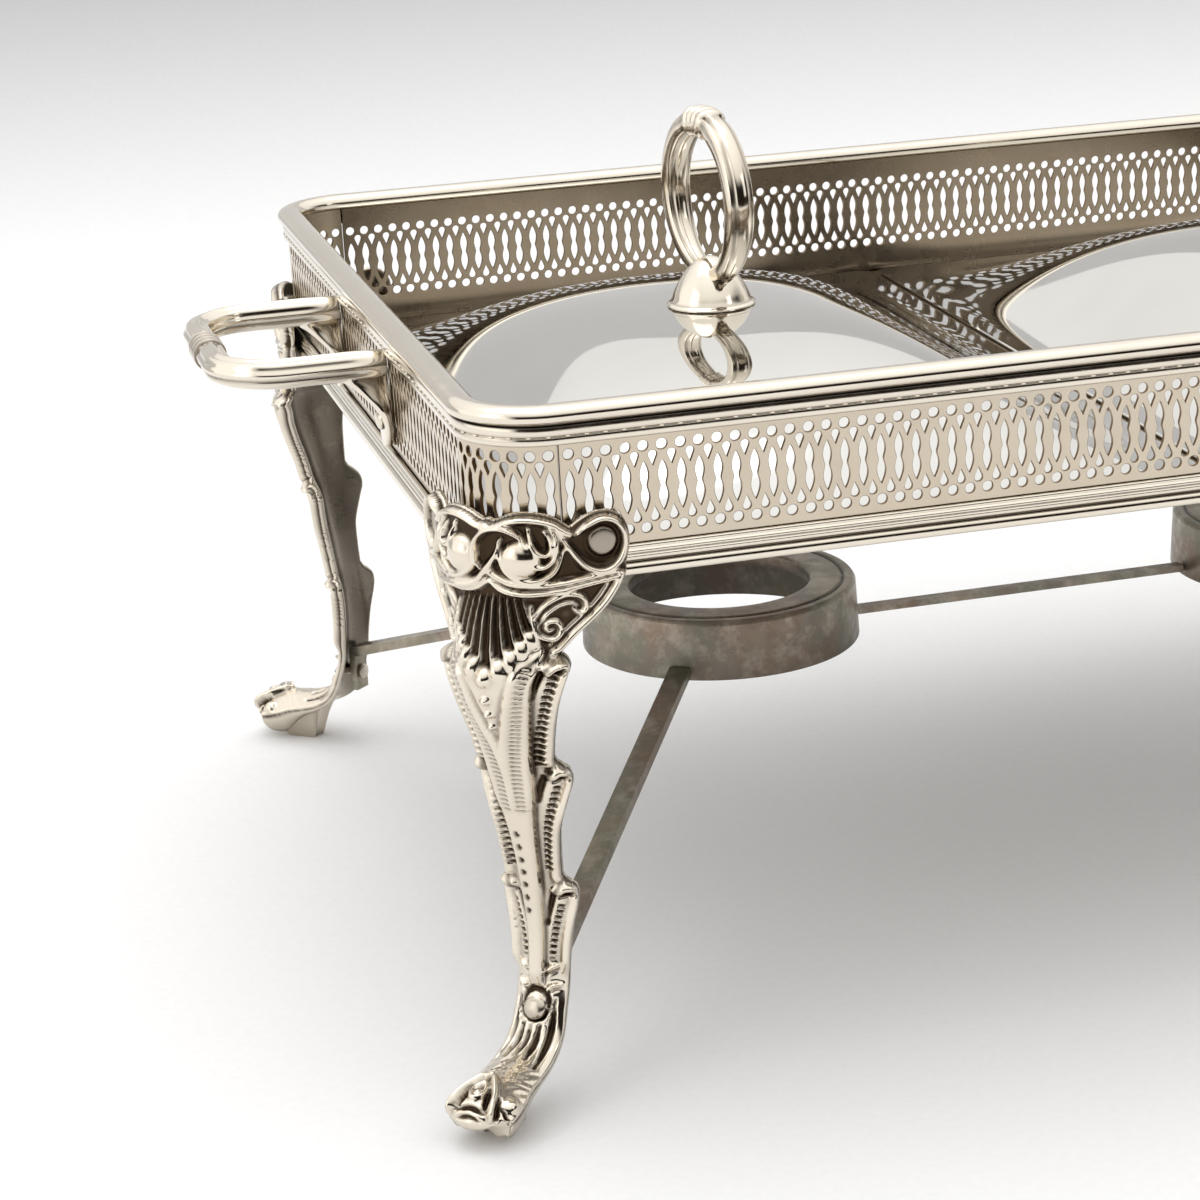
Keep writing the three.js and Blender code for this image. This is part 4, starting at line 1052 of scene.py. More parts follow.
def leg_grid(step):
    """The leg laid flat: its points, their distance from the outline, the quads between them, its border.

    It also gives the places that the points take in a whole grid, and that grid's shape.
    """
    outline = leg_outline()
    us = np.arange(-35 - step / 2, 35.5, step)
    ws = np.arange(outline[:, 1].min() - step, outline[:, 1].max() + step, step)
    centres = np.array(np.meshgrid(us[:-1] + step / 2, ws[:-1] + step / 2))
    depth = signed_distance(outline, centres[0].ravel(), centres[1].ravel())[0]
    rows, columns = np.nonzero(depth.reshape(centres[0].shape) > 0)
    corner = rows * len(us) + columns
    quads = np.column_stack([corner, corner + 1, corner + 1 + len(us), corner + len(us)])
    used, quads = np.unique(quads, return_inverse=True)
    quads = [tuple(q) for q in quads.reshape(-1, 4).tolist()]
    u, w = us[used % len(us)], ws[used // len(us)]
    loop = np.array(max(boundary_loops(quads), key=len))
    inside, nearest = signed_distance(outline, u, w)
    u[loop], w[loop] = nearest[loop].T
    inside[loop] = 0
    return u, w, np.maximum(inside, 0), quads, loop, used, (len(ws), len(us))


def leg_mesh(sizes):
    """The cast leg, laid out in the frame of its corner: X outwards along the diagonal, Y across, Z up."""
    wall = sizes.wall / MM
    u, w, inside, quads, loop, used, grid = leg_grid(sizes.step / MM)
    shape = LegShape()
    height, fine, film = leg_relief(u, w, inside, sizes.relief)
    height = softened(height, used, grid, 2) + fine
    # Every casting is filed round at its rim, and fades out under the tip of the toe
    height *= smoothstep(w, -19, -14)
    height -= 0.8 * np.clip(1 - inside / 0.8, 0, 1) ** 2
    front = shape.base(u, w, height)
    upper = shape.base(u, w, -wall)
    # The foot deepens under the instep to the sole that it stands on
    place, border, middle = np.array(LEG_DEPTH).T
    deep = np.interp(w, place, border)
    deep += (np.interp(w, place, middle) - deep) * smoothstep(inside, 0, 4.5)
    back = upper - np.column_stack([0 * w, upper[:, 1] * 0.034 * (deep - wall), deep - wall])
    # Film lies where the surface is lower than what stands round it
    deep_field = smoothstep(w, 121.5, 124.5)
    near = softened(height, used, grid, 5) - height
    wide = softened(height, used, grid, 60) - height
    hollow = np.clip(near * 1.3 - 0.06, 0, 1) + np.clip(wide * (0.6 + 0.5 * deep_field) - 0.08, 0, 1)
    hollow += deep_field * 0.75 * smoothstep(-height, -0.8, 0.1) + softened(film, used, grid, 1)
    hollow = np.clip(hollow, 0, 1) ** 0.85
    points = [front, back]
    count = len(u)
    faces = quads + [tuple(count + i for i in q[::-1]) for q in quads]
    # Film in the front's hollows; painted shade on the back, darker up the leg where it faces into the stand
    film_and_shade = [hollow, 0.15 + 0.57 * smoothstep(w, 10, 22)]
    # Side wall with a swelling edge
    here, beyond = front[loop], back[loop]
    ahead = np.roll(here, -2, axis=0) - np.roll(here, 2, axis=0)
    outwards = np.cross(ahead, here - beyond)
    outwards /= np.maximum(np.linalg.norm(outwards, axis=1), 1e-9)[:, None]
    rows = [loop]
    for k, t in enumerate((0.2, 0.5, 0.8)):
        points.append(here * (1 - t) + beyond * t + outwards * (EDGE_SWELL * math.sin(math.pi * t)))
        rows.append((2 * count + k * len(loop)) + np.arange(len(loop)))
        # Painted shade on the side wall, darker towards the back
        film_and_shade.append(np.full(len(loop), 0.05 + 0.3 * t))
    rows.append(loop + count)
    for near, far in zip(rows, rows[1:]):
        faces += zip(*(row.tolist() for row in (np.roll(near, -1), near, far, np.roll(far, -1))))
    points = np.vstack(points)
    # The sole is ground flat
    points[:, 2] = np.maximum(points[:, 2], 0)
    points[:, 0] -= np.maximum(points[:, 0] + np.abs(points[:, 1]) - TOE_LIMIT, 0)
    # The stud on the back of the plate goes through the gallery to its nut
    stud, stud_faces = turned([(0, 0), (1.2, 0), (1.4, 0.3), (1.4, 6.6), (1.2, 7), (0, 7)], 16)
    stud = np.column_stack([STUD_START + stud[:, 2], stud[:, 0], STUD_LEVEL + stud[:, 1]])
    film_and_shade.append(np.zeros(len(stud)))
    points, faces = joined((points, faces), (stud, stud_faces))
    return make_mesh("cast_leg", points, faces, None, np.concatenate(film_and_shade))


def corner_matrix(sx, sy):
    """The frame of a corner: X outwards along the diagonal from its axis, and Z up."""
    axis = Matrix.Translation((sx * AXIS_X * MM, sy * AXIS_Y * MM, 0))
    return axis @ Matrix.Rotation(math.atan2(sy, sx), 4, "Z")


class StandLegs(bpy.types.Operator):
    """Builds the cast leg and sets it at the four corners"""

    bl_idname = "stand.legs"
    bl_label = "Legs"

    def execute(self, context):
        mesh = leg_mesh(context.scene.stand_leg)
        for corner, signs in CORNERS.items():
            put(f"cast_leg_{corner}", mesh, "stand", "cast_silver_plate",
                [f"leg_{corner}"], corner_matrix(*signs))
        return {"FINISHED"}


def local_reach(node, matrix):
    """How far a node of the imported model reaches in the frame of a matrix, in millimetres."""
    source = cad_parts[node]
    inverse = matrix.inverted() @ source.matrix_world
    points = np.array([tuple(inverse @ v.co) for v in source.data.vertices]) / MM
    return points.min(axis=0), points.max(axis=0)


def rivet_solid(run, radius, head, shank):
    """Points and faces of a rivet along Z: a clinched end at 0, a shank, and a domed head."""
    profile = [(0, 0), (shank * 1.1, 0.05), (shank * 1.35, 0.35), (shank * 1.3, 0.7), (shank, 0.8)]
    profile += [(shank, run - head), (radius * 0.97, run - head), (radius, run - head + 0.25)]
    rise = np.linspace(0.15, QUARTER, 8)[:-1]
    profile += [(radius * math.cos(a), run - head + 0.25 + (head - 0.25) * math.sin(a)) for a in rise]
    return turned([*profile, (0, run)], 32)


def outward(points, faces):
    """The faces of a closed solid, turned round if they face inwards."""
    p = np.asarray(points, float)
    corners = [(f[0], f[k], f[k + 1]) for f in faces for k in range(1, len(f) - 1)]
    volume = sum(np.dot(p[a], np.cross(p[b], p[c])) for a, b, c in corners)
    return faces if volume > 0 else [tuple(f[::-1]) for f in faces]


class StandFasteners(bpy.types.Operator):
    """Builds the cap nuts, and the heads and shanks of the rivets"""

    bl_idname = "stand.fasteners"
    bl_label = "Nuts and rivets"

    def execute(self, context):
        for corner, signs in CORNERS.items():
            matrix = corner_matrix(*signs)
            self.cap_nut(corner, matrix)
            self.leg_rivet(corner, matrix)
        for side, sx in SIDES.items():
            for end in ("front", "back"):
                self.handle_rivet(side, end, sx)
        return {"FINISHED"}

    def cap_nut(self, corner, matrix):
        """A chamfered hexagon with a dome on it, seated on the band and pointing inwards."""
        lowest, highest = local_reach(f"leg_nut_{corner}", matrix)
        seat, run = highest[0], highest[0] - lowest[0]
        middle, radius = (highest[2] + lowest[2]) / 2, (highest[2] - lowest[2]) / 2
        hexagon = [
            [(seat - share * run, radius * size * math.cos(a), middle + radius * size * math.sin(a))
             for a in QUARTER + np.arange(6) * math.pi / 3]
            for share, size in ((0, 0.93), (0.12, 1), (0.42, 1), (0.5, 0.93))
        ]
        across = radius * math.cos(math.pi / 6)
        cap = [(0, 0.3 * run), (across * 0.93, 0.3 * run), (across * 0.93, 0.55 * run)]
        rise = np.linspace(0.1, QUARTER, 7)[:-1]
        cap += [(across * 0.9 * math.cos(t), run * (0.58 + 0.42 * math.sin(t))) for t in rise]
        p, cap_faces = turned([*cap, (0, run)], 28)
        p = np.column_stack([seat - p[:, 2], p[:, 1], middle + p[:, 0]])
        mesh = make_mesh(f"cap_nut_{corner}", *joined(swept(hexagon), (p, cap_faces)), 32)
        put_silver(f"cap_nut_{corner}", mesh, [f"leg_nut_{corner}"], matrix=matrix)

    def leg_rivet(self, corner, matrix):
        """The head lies in its seat square to the ankle's front. The shank runs level to the bar behind."""
        lowest, highest = local_reach(f"leg_rivet_{corner}", matrix)
        middle = (highest[2] + lowest[2]) / 2
        seat, sunk, lean, film = 18.6, 2.4, math.radians(24), 0.3
        head, head_faces = rivet_solid(3.2, 3.1, 1.55, 1.8)
        c, s = math.cos(lean), math.sin(lean)
        out, up = head[:, 2] - sunk, head[:, 0]
        head = np.column_stack([seat + out * c - up * s, head[:, 1], middle + out * s + up * c])
        shank, shank_faces = rivet_solid(seat - lowest[0], 1.9, 0.3, 1.8)
        shank = np.column_stack([lowest[0] + shank[:, 2], shank[:, 1], middle - shank[:, 0]])
        points, faces = joined((head, outward(head, head_faces)), (shank, outward(shank, shank_faces)))
        mesh = make_mesh(f"leg_rivet_head_{corner}", points, faces, 40, np.full(len(points), film))
        put(f"leg_rivet_head_{corner}", mesh, "stand", "cast_silver_plate",
            [f"leg_rivet_{corner}"], matrix)

    def handle_rivet(self, side, end, sx):
        """A domed head outside the handle's tab, with painted shade below its rim."""
        node, name = f"handle_rivet_{side}_{end}", f"handle_rivet_head_{side}_{end}"
        lowest, highest = low(node), high(node)
        run, radius, head = highest[0] - lowest[0], (highest[1] - lowest[1]) / 2, 1.6
        points, faces = rivet_solid(run, radius, head, 0.55 * radius)
        # Painted shade: the shank and the lower edge of the head are darkened to 0.8
        mesh = make_mesh(name, points, faces, 40, np.where(points[:, 2] < run - head + 0.3, 0.8, 0.05))
        start = Vector((lowest[0] if sx > 0 else highest[0], *(lowest[1:] + highest[1:]) / 2)) * MM
        matrix = Matrix.Translation(start) @ Matrix.Rotation(sx * QUARTER, 4, "Y")
        put_silver(name, mesh, [node], matrix=matrix)


def united(name, solids, sharp, hollow_of):
    """One closed mesh from overlapping solids, each given as points and faces in millimetres."""
    parts = []
    for points, faces in solids:
        parts.append(linked(name, make_mesh(f"{name}_part", points, outward(points, faces), None)))
    first = parts[0]
    for other in parts[1:]:
        union = first.modifiers.new("union", "BOOLEAN")
        union.operation, union.solver, union.object = "UNION", "EXACT", other
    evaluated = first.evaluated_get(bpy.context.evaluated_depsgraph_get())
    source = evaluated.to_mesh()
    points = np.array([tuple(v.co) for v in source.vertices]) / MM
    faces = [tuple(p.vertices) for p in source.polygons]
    evaluated.to_mesh_clear()
    for part in parts:
        mesh = part.data
        bpy.data.objects.remove(part)
        bpy.data.meshes.remove(mesh)
    return make_mesh(name, points, faces, sharp, hollow_of(points))


def along_path(path, section):
    """Sections of (sideways, up) points square to a level path, each made from its share of the path."""
    path = np.asarray(path, float)
    ahead = np.gradient(path, axis=0)
    ahead /= np.linalg.norm(ahead, axis=1)[:, None]
    rings = []
    for place, direction, share in zip(path, ahead, np.linspace(0, 1, len(path))):
        flat, across = section(share), np.cross(direction, (0, 0, 1))
        rings.append(place + flat[:, :1] * across + flat[:, 1:] * np.array([0, 0, 1]))
    return np.array(rings)


def blunted(v, power):
    """A sine or cosine bent so that a circle turns into a rounded square."""
    return np.sign(v) * np.abs(v) ** power


class StandEndHandles(bpy.types.Operator):
    """Builds the two loop handles on their bracket tabs"""

    bl_idname = "stand.end_handles"
    bl_label = "End handles"

    # Radii of the tube, of its reeded middle and of the bends, and the middle band's half run and a reed's
    TUBE, SWELL, BEND = 3.95, 4.61, 17
    BAND_HALF, REED = 6.4, 3.2

    def execute(self, context):
        lowest, highest = low("end_handle_right"), high("end_handle_right")
        z, outer = highest[2] - self.SWELL, highest[0] - self.SWELL
        arm = (high("handle_rivet_right_back")[1] + low("handle_rivet_right_back")[1]) / 2
        # A loop of tube, seen from above, from one bracket round to the other
        bend, start, side = self.BEND, outer - self.BEND, arm - self.BEND
        half = [(x, arm) for x in np.linspace(lowest[0] + 0.4, start, 22)]
        turn = np.linspace(0, QUARTER, 14)[1:]
        half += [(start + bend * math.sin(t), side + bend * math.cos(t)) for t in turn]
        half = np.array(half + [(outer, y) for y in np.linspace(side, 0, 72)[1:]])
        plan = np.vstack([half, (half * (1, -1))[::-1][1:]])
        tube = swept(along_path(level_ring(plan, z), lambda share: self.section(plan, outer, share)))
        solids = [tube] + [self.bracket(lowest, sign * arm, z) for sign in (1, -1)]
        mesh = united("loop_handle", solids, 40, lambda points: self.grime(points, outer, z))
        for side, sx in SIDES.items():
            matrix = Matrix.Rotation(0 if sx > 0 else math.pi, 4, "Z")
            put_silver(f"loop_handle_{side}", mesh, [f"end_handle_{side}"], matrix=matrix)
        return {"FINISHED"}

    def section(self, plan, outer, share):
        """Reeds on top, a bright flank over a crease, a round underside, and collars in the middle."""
        angles = np.linspace(0, 2 * np.pi, 48, endpoint=False)
        x, y = plan[int(round(share * (len(plan) - 1)))]
        fade = np.clip((x - 199) / 8, 0, 1)
        r = self.TUBE + fade * 0.28 * np.cos(angles * 8 + 0.4) * (0.5 + 0.5 * np.sin(angles))
        r -= fade * 0.5 * bell_curve(np.mod(angles + np.pi, 2 * np.pi) - np.pi, -0.35, 0.16)
        r -= fade * 0.5 * bell_curve(angles - np.pi, 0.35, 0.16)
        y = abs(y)
        if x > outer - 1 and y < self.BAND_HALF + 0.8:
            collar = dome((y % self.REED) / (self.REED / 2) - 1) if y < self.BAND_HALF else 0
            r = np.full(len(angles), self.TUBE - 0.1 + 0.75 * collar)
        return np.column_stack([r * np.cos(angles), r * np.sin(angles)])

    def bracket(self, lowest, arm, z):
        """A web that leaves the arm's underside in a hollow curve and ends in the round riveted tab."""
        back, foot = lowest[0], lowest[2]
        fall, reach = np.array([
            (0.5, 13), (2, 13), (3.9, 12), (5.5, 9.7), (7.2, 8), (10.6, 4.9), (13.5, 3.1), (16.5, 2.35),
            (40, 2.25),
        ]).T
        tab, neck = 6.25, 3.1
        round_end = foot + tab * (1 - np.sin(np.linspace(0.1, 1.5, 12)))
        angles = np.linspace(0, 2 * np.pi, 40, endpoint=False)
        rings = []
        for level in np.concatenate([np.linspace(z - 0.5, foot + tab, 24), round_end]):
            half_x = np.interp(z - level, fall, reach) / 2
            wide = neck + (tab - neck) * smoothstep(z - level, 2, 13)
            wide *= math.sqrt(1 - min(max((foot + tab - level) / tab, 0), 0.995) ** 2)
            x, y = half_x * (1 + blunted(np.cos(angles), 0.45)), wide * blunted(np.sin(angles), 0.6)
            rings.append(level_ring(np.column_stack([back + x, arm + y]), level))
        return swept(rings)

    def grime(self, points, outer, z):
        """Film in the crease under the arms, between the reeds, and where the handle meets the band."""
        x, y, height = points.T
        y = np.abs(y)
        crease = bell_curve(height, z - 1.3, 0.5) * (y > 8) * (x > 205)
        swell = (y % self.REED - self.REED / 2) / (self.REED / 2)
        between = np.clip(1.2 * np.cos(swell * QUARTER + QUARTER) ** 2 - 0.2, 0, 1)
        between *= (y < 7) * (x > outer - 6)
        return np.clip(0.6 * crease + 0.8 * between + np.clip((198.6 - x) / 1.2, 0, 0.5), 0, 1)


class StandBurnerRings(bpy.types.Operator):
    """Builds the burner rings, the flat bars that carry them and the bar under the lids' seam"""

    bl_idname = "stand.burner_rings"
    bl_label = "Burner rings and bars"

    def execute(self, context):
        for side in SIDES:
            self.burner_ring(f"burner_ring_{side}")
        for bar in [f"ring_bar_{corner}" for corner in CORNERS] + ["ring_link_bar"]:
            self.flat_bar(bar, "heat_stained_metal")
        self.flat_bar("centre_bar", "brown_filmed_plate")
        return {"FINISHED"}

    def burner_ring(self, node):
        """A flat top with a groove, a rolled inner lip and a deep skirt."""
        lowest, highest = low(node), high(node)
        top, foot, out = highest[2], lowest[2], (highest[0] - lowest[0]) / 2
        deep = foot - top
        profile = rounded([
            (-14.2, -0.75), (-14.2, -4), (-12.8, -4), (-12.8, -1.5), (-2.5, -1.5), (-1.6, deep), (0, deep),
            (-0.7, -1.2), (-1.5, -0.1), (-3.4, 0), (-4.1, -0.55), (-4.7, -0.55), (-5.3, 0), (-12.9, 0),
            (-13.6, -0.15),
        ], 0.32) + (out, top)
        points, faces = turned(profile[::-1], 160)
        r, z = np.hypot(points[:, 0], points[:, 1]), points[:, 2]
        groove = bell_curve(r, out - 4.4, 0.5) * (z > top - 1)
        under = 0.7 * np.clip((top - 1.4 - z) / 0.4, 0, 1) * (r < out - 1.1)
        film = np.maximum(np.maximum(groove, under), 0.35 * smoothstep(z, foot + 5, foot))
        mesh = make_mesh(f"turned_{node}", points + ((lowest[0] + highest[0]) / 2, 0, 0), faces, 40, film)
        put(f"turned_{node}", mesh, "stand", "heat_stained_metal", [node])

    def flat_bar(self, node, finish):
        """The bar's own shape with its long edges rounded as drawn bar has them."""
        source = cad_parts[node]
        mesh = source.data.copy()
        mesh.name = f"flat_{node}"
        mesh.materials.clear()
        mesh.transform(source.matrix_world)
        mesh.polygons.foreach_set("use_smooth", [True] * len(mesh.polygons))
        piece = put(f"flat_{node}", mesh, "stand", finish, [node])
        bevel = piece.modifiers.new("rounded edges", "BEVEL")
        bevel.width, bevel.segments = 0.35 * MM, 3
        bevel.limit_method, bevel.angle_limit = "ANGLE", math.radians(50)
        bevel.harden_normals = True


class StandLids(bpy.types.Operator):
    """Builds the two domed mirror lids"""

    bl_idname = "stand.lids"
    bl_label = "Lids"

    # The flange and the sheet, the corners' radii at the band and at the seam, and the points round the lid
    FLANGE, SHEET, BAND_ROUND, SEAM_ROUND, AROUND = 4.5, 1.0, 30, 3, 256

    def execute(self, context):
        for side, sx in SIDES.items():
            node = f"lid_{side}"
            lowest, highest = low(node), high(node)
            half = np.array([(highest[0] - lowest[0]) / 2, highest[1]])
            points, faces = self.lid(half, sx)
            points[:, 0] += (lowest[0] + highest[0]) / 2
            mesh = make_mesh(f"mirror_{node}", points, faces, 30)
            put(f"mirror_{node}", mesh, f"{side}_lid", "mirror_polished_steel", [node])
        return {"FINISHED"}

    def plan(self, half, sx, inset, direction):
        """Distance along a direction to the outline. Its corners are large at the band, small at the seam."""
        x, y = direction
        radius = self.BAND_ROUND if x * sx > 0 else self.SEAM_ROUND
        h, r = half - inset, max(radius - inset, 0.3)
        t = min(h[0] / max(abs(x), 1e-9), h[1] / max(abs(y), 1e-9))
        c = h - r
        if t * abs(x) > c[0] and t * abs(y) > c[1]:
            b = abs(x) * c[0] + abs(y) * c[1]
            t = b + math.sqrt(max(b * b - (c @ c - r * r), 0))
        return t

    def lid(self, half, sx):
        """Points and faces of a dome whose plan goes from round to square, its flange and its underside."""
        around, sheet = self.AROUND, self.SHEET
        inner = half - self.FLANGE
        angles = np.linspace(0, 2 * np.pi, around, endpoint=False)
        directions = np.column_stack([np.cos(angles), np.sin(angles)])
        reach = [[self.plan(half, sx, inset, d) for d in directions] for inset in (0, 0.35)]
        outline, edge = np.array(reach)[:, :, None] * directions
        top = LID_BASE + sheet
        rings = []
        steps = np.concatenate([np.linspace(0.02, 0.9, 40), np.linspace(0.9, 1, 16)[1:]])
        for s in steps:
            power = 2.3 + 7 * s**3
            k = (np.abs(directions / inner) ** power).sum(axis=1) ** (-1 / power)
            height = top + (LID_TOP - top) / 2 * (1 + math.cos(math.pi * s**1.8))
            rings.append(level_ring(directions * (k * s)[:, None], height))
        last = rings[-1][:, :2]
        rings += [level_ring(last + (outline - last) * share, top) for share in (0.35, 0.7)]
        dome_rings = rings[:]
        for plan, level in ((edge, top), (outline, top - 0.3), (outline, LID_BASE + 0.3), (edge, LID_BASE)):
            rings.append(level_ring(plan, level))
        # The underside lies a sheet's thickness lower, and a little inside the dome where that is steep
        for ring in dome_rings[::-1]:
            inset = np.where(ring[:, 2:] > top + 0.2, 0.988, 1)
            rings.append(np.column_stack([ring[:, :2] * inset, ring[:, 2] - sheet]))
        points = np.vstack([*rings, [0, 0, LID_TOP], [0, 0, LID_TOP - sheet]])
        faces = [f[::-1] for f in grid_faces(len(rings), around)]
        pit, last_ring = len(points) - 1, (len(rings) - 1) * around
        faces += [(pit - 1, j, (j + 1) % around) for j in range(around)]
        faces += [(pit, last_ring + (j + 1) % around, last_ring + j) for j in range(around)]
        return points, faces


class StandLidHandles(bpy.types.Operator):
    """Builds each lid's bell boss, its fluted ring handle and the screw that holds them"""

    bl_idname = "stand.lid_handles"
    bl_label = "Lid handles"

    # The ring: its middle's height, its radius, its opening at the foot, its turn, and its top's collars
    MIDDLE, RADIUS, OPENING, TURN = 197.8, 21.6, math.radians(16), math.radians(8.3)
    COLLARS, COLLAR = 5.6, 2.8

    def execute(self, context):
        for side in SIDES:
            lowest, highest = low(f"lid_bell_{side}"), high(f"lid_bell_{side}")
            centre = (lowest[0] + highest[0]) / 2
            self.bell(side, centre, lowest, highest)
            self.ring(side, centre)
            self.screw(side, centre)
        return {"FINISHED"}

    def bell(self, side, centre, lowest, highest):
        radius, run = highest[1], highest[2] - lowest[2]
        curve = smooth_curve([
            (radius * 0.985, 0.5), (radius * 0.95, 0.8), (11.6, 1.15), (11.2, 2), (10.5, 3.7), (9.3, 6),
            (7.8, 8.3), (6, 10.5), (3.9, 12.3), (1.8, 13.3), (0, run),
        ], 0.5)
        base = [(0, -0.42), (radius * 0.95, -0.42), (radius * 0.995, -0.15), (radius, 0.25)]
        profile = np.vstack([base, curve])
        profile[:, 1] = np.minimum(profile[:, 1], run)
        points, faces = turned(profile, 96)
        film = bell_curve(points[:, 2], 1, 0.4) * (np.hypot(points[:, 0], points[:, 1]) < 11.8) * 0.35
        mesh = make_mesh(f"turned_lid_bell_{side}", points + (centre, 0, lowest[2]), faces, 45, film)
        put_silver(f"turned_lid_bell_{side}", mesh, [f"lid_bell_{side}"], f"{side}_lid")

    def ring(self, side, centre):
        """A stirrup-shaped ring of flat fluted section, with collars at its top."""
        highest = high(f"lid_grip_{side}")
        angles = np.linspace(self.OPENING, 2 * np.pi - self.OPENING, 300) - QUARTER
        rings = np.array([self.section(a) for a in angles])
        fit = (highest[2] - self.MIDDLE) / rings[:, :, 2].max()
        rings[:, :, 1:] *= min(fit, highest[1] / rings[:, :, 1].max())
        points, faces = swept(rings[::-1])
        points = around_z(points, self.TURN) + (centre, 0, self.MIDDLE)
        mesh = make_mesh(f"cast_lid_ring_{side}", points, faces, 50, self.flute_film(rings[::-1]))
        put(f"cast_lid_ring_{side}", mesh, f"{side}_lid", "cast_silver_plate",
            [f"lid_grip_{side}"])

    def section(self, a):
        """The ring's section at an angle: a blunt oval, fluted, or swelling where the collars are."""
        across = np.linspace(0, 2 * np.pi, 44, endpoint=False)
        c, s = np.cos(across), np.sin(across)
        from_top = abs((a - QUARTER + math.pi) % (2 * math.pi) - math.pi)
        low_share = smoothstep(from_top, 1.6, 2.85)
        wide = 4.1 - 1.0 * low_share
        u, v = wide * blunted(c, 0.85), (3.8 - 0.8 * low_share) * blunted(s, 0.85)
        along = from_top * (self.RADIUS + 0.4)
        if along < self.COLLARS:
            size = 0.86 + 0.3 * dome((along % self.COLLAR) / (self.COLLAR / 2) - 1)
            flute = size
        else:
            size = 1 - 0.06 * smoothstep(12 - along, 0, 5)
            flute = size * (1 - 0.2 * bell_curve(np.abs(u) / wide, 0.62, 0.14) * (np.abs(s) > 0.2))
        radius = self.RADIUS + 0.2 * low_share + v * flute
        return np.column_stack([u * size, radius * math.cos(a), radius * math.sin(a)])

    def flute_film(self, rings):
        """Film in the flutes and between the collars."""
        u = np.abs(rings[:, :, 0])
        wide = u.max(axis=1, keepdims=True)
        groove = bell_curve(u / wide, 0.62, 0.12) * (wide < 4.15)
        pinched = np.clip((3.95 - wide) / 0.3, 0, 1) * (rings[:, :, 2] > 15)
        return np.clip(groove * 0.5 + pinched * 0.8, 0, 1).ravel()

    def screw(self, side, centre):
        """A slotted pan head under the lid and a threaded shank up into the ring."""
        node = f"lid_screw_{side}"
        lowest, highest = low(node), high(node)
        run, radius = highest[2] - lowest[2], highest[1]
        profile = [(0, 0), (0.7, 0.12), (0.93, 0.75), (1, 1.5), (1, 2.4), (0.4, 2.5), (0.4, 3.1)]
        threads = 10
        pitch = (run - 3.6) / threads
        for k in range(threads):
            profile += [(0.4, 3.2 + k * pitch), (0.34, 3.2 + k * pitch + pitch / 2)]
        profile += [(0.3, run - 0.1), (0, run)]
        points, faces = turned(np.array(profile) * (radius, 1), 28)
        slot = (np.abs(points[:, 1]) < 0.45) * (points[:, 2] < 0.9)
        points[:, 2] += slot * 0.8
        mesh = make_mesh(f"slotted_{node}", points + (centre, 0, lowest[2]), faces, 40)
        put(f"slotted_{node}", mesh, f"{side}_lid", "brown_filmed_plate", [node])


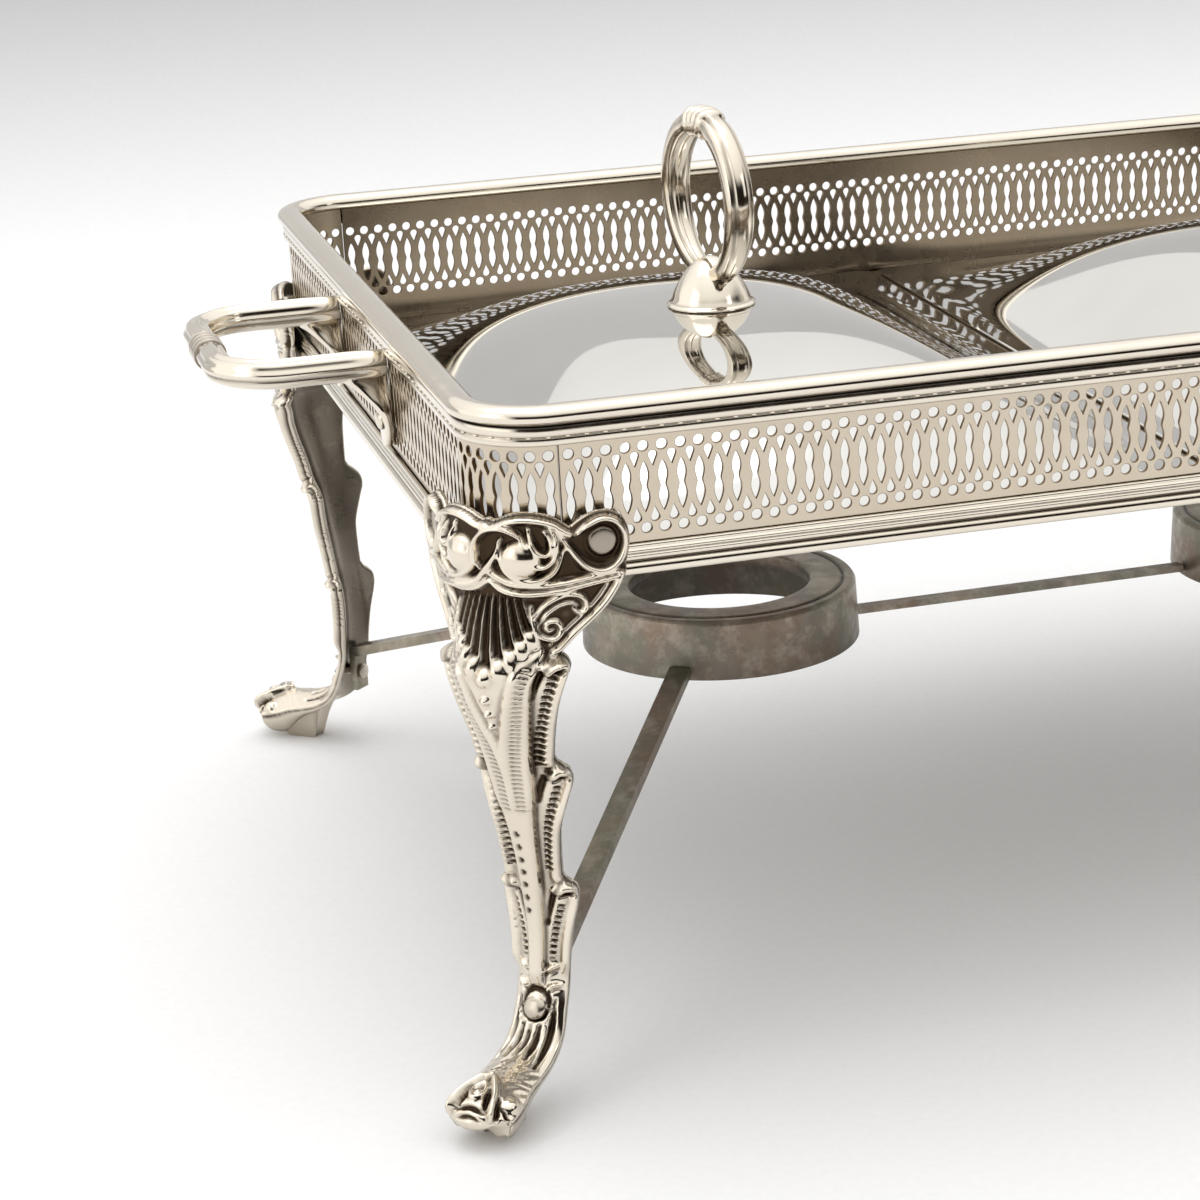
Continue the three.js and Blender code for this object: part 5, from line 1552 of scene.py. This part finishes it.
class StandStage(bpy.types.Operator):
    """Sets the paper sweep, the soft lights and the camera"""

    bl_idname = "stand.stage"
    bl_label = "Stage and camera"

    # The sweep, in metres: the floor's near and far end, the bend's radius, the wall's top, half the width
    FLOOR, BEND, WALL, HALF_WIDTH = (-2.6, 0.9), 0.6, 0.75, 2.6
    # Each light: its place and what it is aimed at, its width and depth, its power, and its tint
    LIGHTS = {
        "softbox_overhead": ((-0.25, 0.25, 1.55), (0, 0, 0.1), 1.5, 1.1, 5.2, (1, 0.99, 0.975)),
        "softbox_left": ((-1.6, -0.5, 0.8), (0, 0, 0.1), 0.7, 1.1, 1.1, (1, 0.99, 0.98)),
        "card_front_right": ((1.3, -1.5, 0.9), (0, 0, 0.1), 0.5, 0.9, 1.6, (0.98, 0.99, 1)),
    }
    # The camera: its place, its turn, fall and roll in radians, its lens in millimetres, and its shift
    PLACE, TURN, FALL, ROLL = (-0.3373, -0.8644, 0.3677), 0.2668, 0.3242, -0.0445
    LENS, SHIFT = 96.41, (-0.0915, 0.0348)

    def execute(self, context):
        self.sweep()
        self.lights()
        self.world(context.scene)
        self.camera(context.scene)
        return {"FINISHED"}

    def sweep(self):
        near, far = self.FLOOR
        bend = np.linspace(0, QUARTER, 24)[1:]
        side = [(near, 0), (far, 0)]
        side += [(far + self.BEND * math.sin(t), self.BEND * (1 - math.cos(t))) for t in bend]
        side += [(far + self.BEND, self.WALL)]
        count = len(side)
        points = [(x, y, z) for x in (-self.HALF_WIDTH, self.HALF_WIDTH) for y, z in side]
        faces = [(k + 1 + count, k + 1, k, k + count) for k in range(count - 1)]
        mesh = make_mesh("paper_sweep", np.array(points) / MM, faces, None)
        mesh.materials.append(finish_of("paper_sweep"))
        linked("paper_sweep", mesh)

    def lights(self):
        for name, (place, aim, width, depth, power, tint) in self.LIGHTS.items():
            light = bpy.data.lights.new(name, "AREA")
            light.shape, light.size, light.size_y = "RECTANGLE", width, depth
            light.energy, light.color = power, tint
            lamp = linked(name, light)
            lamp.location = place
            lamp.rotation_euler = (Vector(aim) - Vector(place)).to_track_quat("-Z", "Y").to_euler()

    def world(self, scene):
        """A pale room, dim and warm behind the camera, which gives the silver its dark reflections."""
        world = scene.world = bpy.data.worlds.new("studio_room")
        world.use_nodes = True
        tree = world.node_tree
        tree.nodes.clear()
        direction = add_node(tree, "ShaderNodeTexCoord", output="Generated")
        x, y, z = add_node(tree, "ShaderNodeSeparateXYZ", {0: direction}).node.outputs
        front = ramp(tree, scaled(tree, z, -1, 1, 0, 1), [
            (0, "#C9C7C3"), (0.4, "#A39A8C"), (0.47, "#1F1812"), (0.67, "#171210"), (0.76, "#D6D4D0"),
            (1, "#FFFFFF"),
        ])
        forward, window = scaled(tree, y, -0.3, 0.25, 1, 0), scaled(tree, x, -0.62, -0.78, 0, 1)
        back = ramp(tree, scaled(tree, z, -1, 1, 0, 1), [
            (0, "#D0CFCC"), (0.5, "#CFCECC"), (0.68, "#DEDDDB"), (1, "#FFFFFF"),
        ])
        lit = mixed(tree, window, mixed(tree, forward, back, front), linear("#F4F3F0"))
        seen = add_node(tree, "ShaderNodeBackground", {"Color": linear("#FFFFFF"), "Strength": 1})
        shed = add_node(tree, "ShaderNodeBackground", {"Color": lit, "Strength": 1.5})
        ray = add_node(tree, "ShaderNodeLightPath", output="Is Camera Ray")
        add_node(tree, "ShaderNodeOutputWorld", {
            "Surface": add_node(tree, "ShaderNodeMixShader", {0: ray, 1: shed, 2: seen}),
        })

    def camera(self, scene):
        turn, fall, roll = self.TURN, self.FALL, self.ROLL
        ahead = Vector((math.sin(turn) * math.cos(fall), math.cos(turn) * math.cos(fall), -math.sin(fall)))
        right = Vector((math.cos(turn), -math.sin(turn), 0))
        over = right.cross(ahead)
        across = math.cos(roll) * right + math.sin(roll) * over
        up = -math.sin(roll) * right + math.cos(roll) * over
        data = bpy.data.cameras.new("camera")
        data.sensor_width, data.lens = 36, self.LENS
        data.shift_x, data.shift_y = self.SHIFT
        data.clip_start, data.clip_end = 0.05, 20
        camera = linked("camera", data)
        axes = Matrix((across, up, -ahead)).transposed().to_4x4()
        camera.matrix_world = Matrix.Translation(self.PLACE) @ axes
        scene.camera = camera
        scene.view_settings.view_transform = "Standard"


OPERATORS = (
    StandGallery, StandRims, StandLegs, StandFasteners, StandEndHandles, StandBurnerRings, StandLids,
    StandLidHandles, StandStage,
)
GROUPS = {"stand_gallery": GallerySizes, "stand_leg": LegSizes, "stand_colours": FinishColours}


class StandPanel(bpy.types.Panel):
    """Lists the steps that build the stand"""

    bl_idname = "STAND_PT_steps"
    bl_label = "Twin Chafing Dish Stand"
    bl_space_type = "VIEW_3D"
    bl_region_type = "UI"
    bl_category = "Stand"

    def draw(self, context):
        column = self.layout.column()
        for operator in OPERATORS:
            column.operator(operator.bl_idname)
        for name, group in GROUPS.items():
            for prop in group.__annotations__:
                column.prop(getattr(context.scene, name), prop)


def register():
    for item in (*GROUPS.values(), *OPERATORS, StandPanel):
        bpy.utils.register_class(item)
    for name, group in GROUPS.items():
        setattr(bpy.types.Scene, name, PointerProperty(type=group))


def unregister():
    for name in GROUPS:
        delattr(bpy.types.Scene, name)
    for item in reversed((*GROUPS.values(), *OPERATORS, StandPanel)):
        bpy.utils.unregister_class(item)


def main():
    register()
    for operator in OPERATORS:
        group, step = operator.bl_idname.split(".")
        if getattr(getattr(bpy.ops, group), step)() != {"FINISHED"}:
            raise RuntimeError(f"{operator.bl_label} wasn't built")


if __name__ == "__main__":
    main()
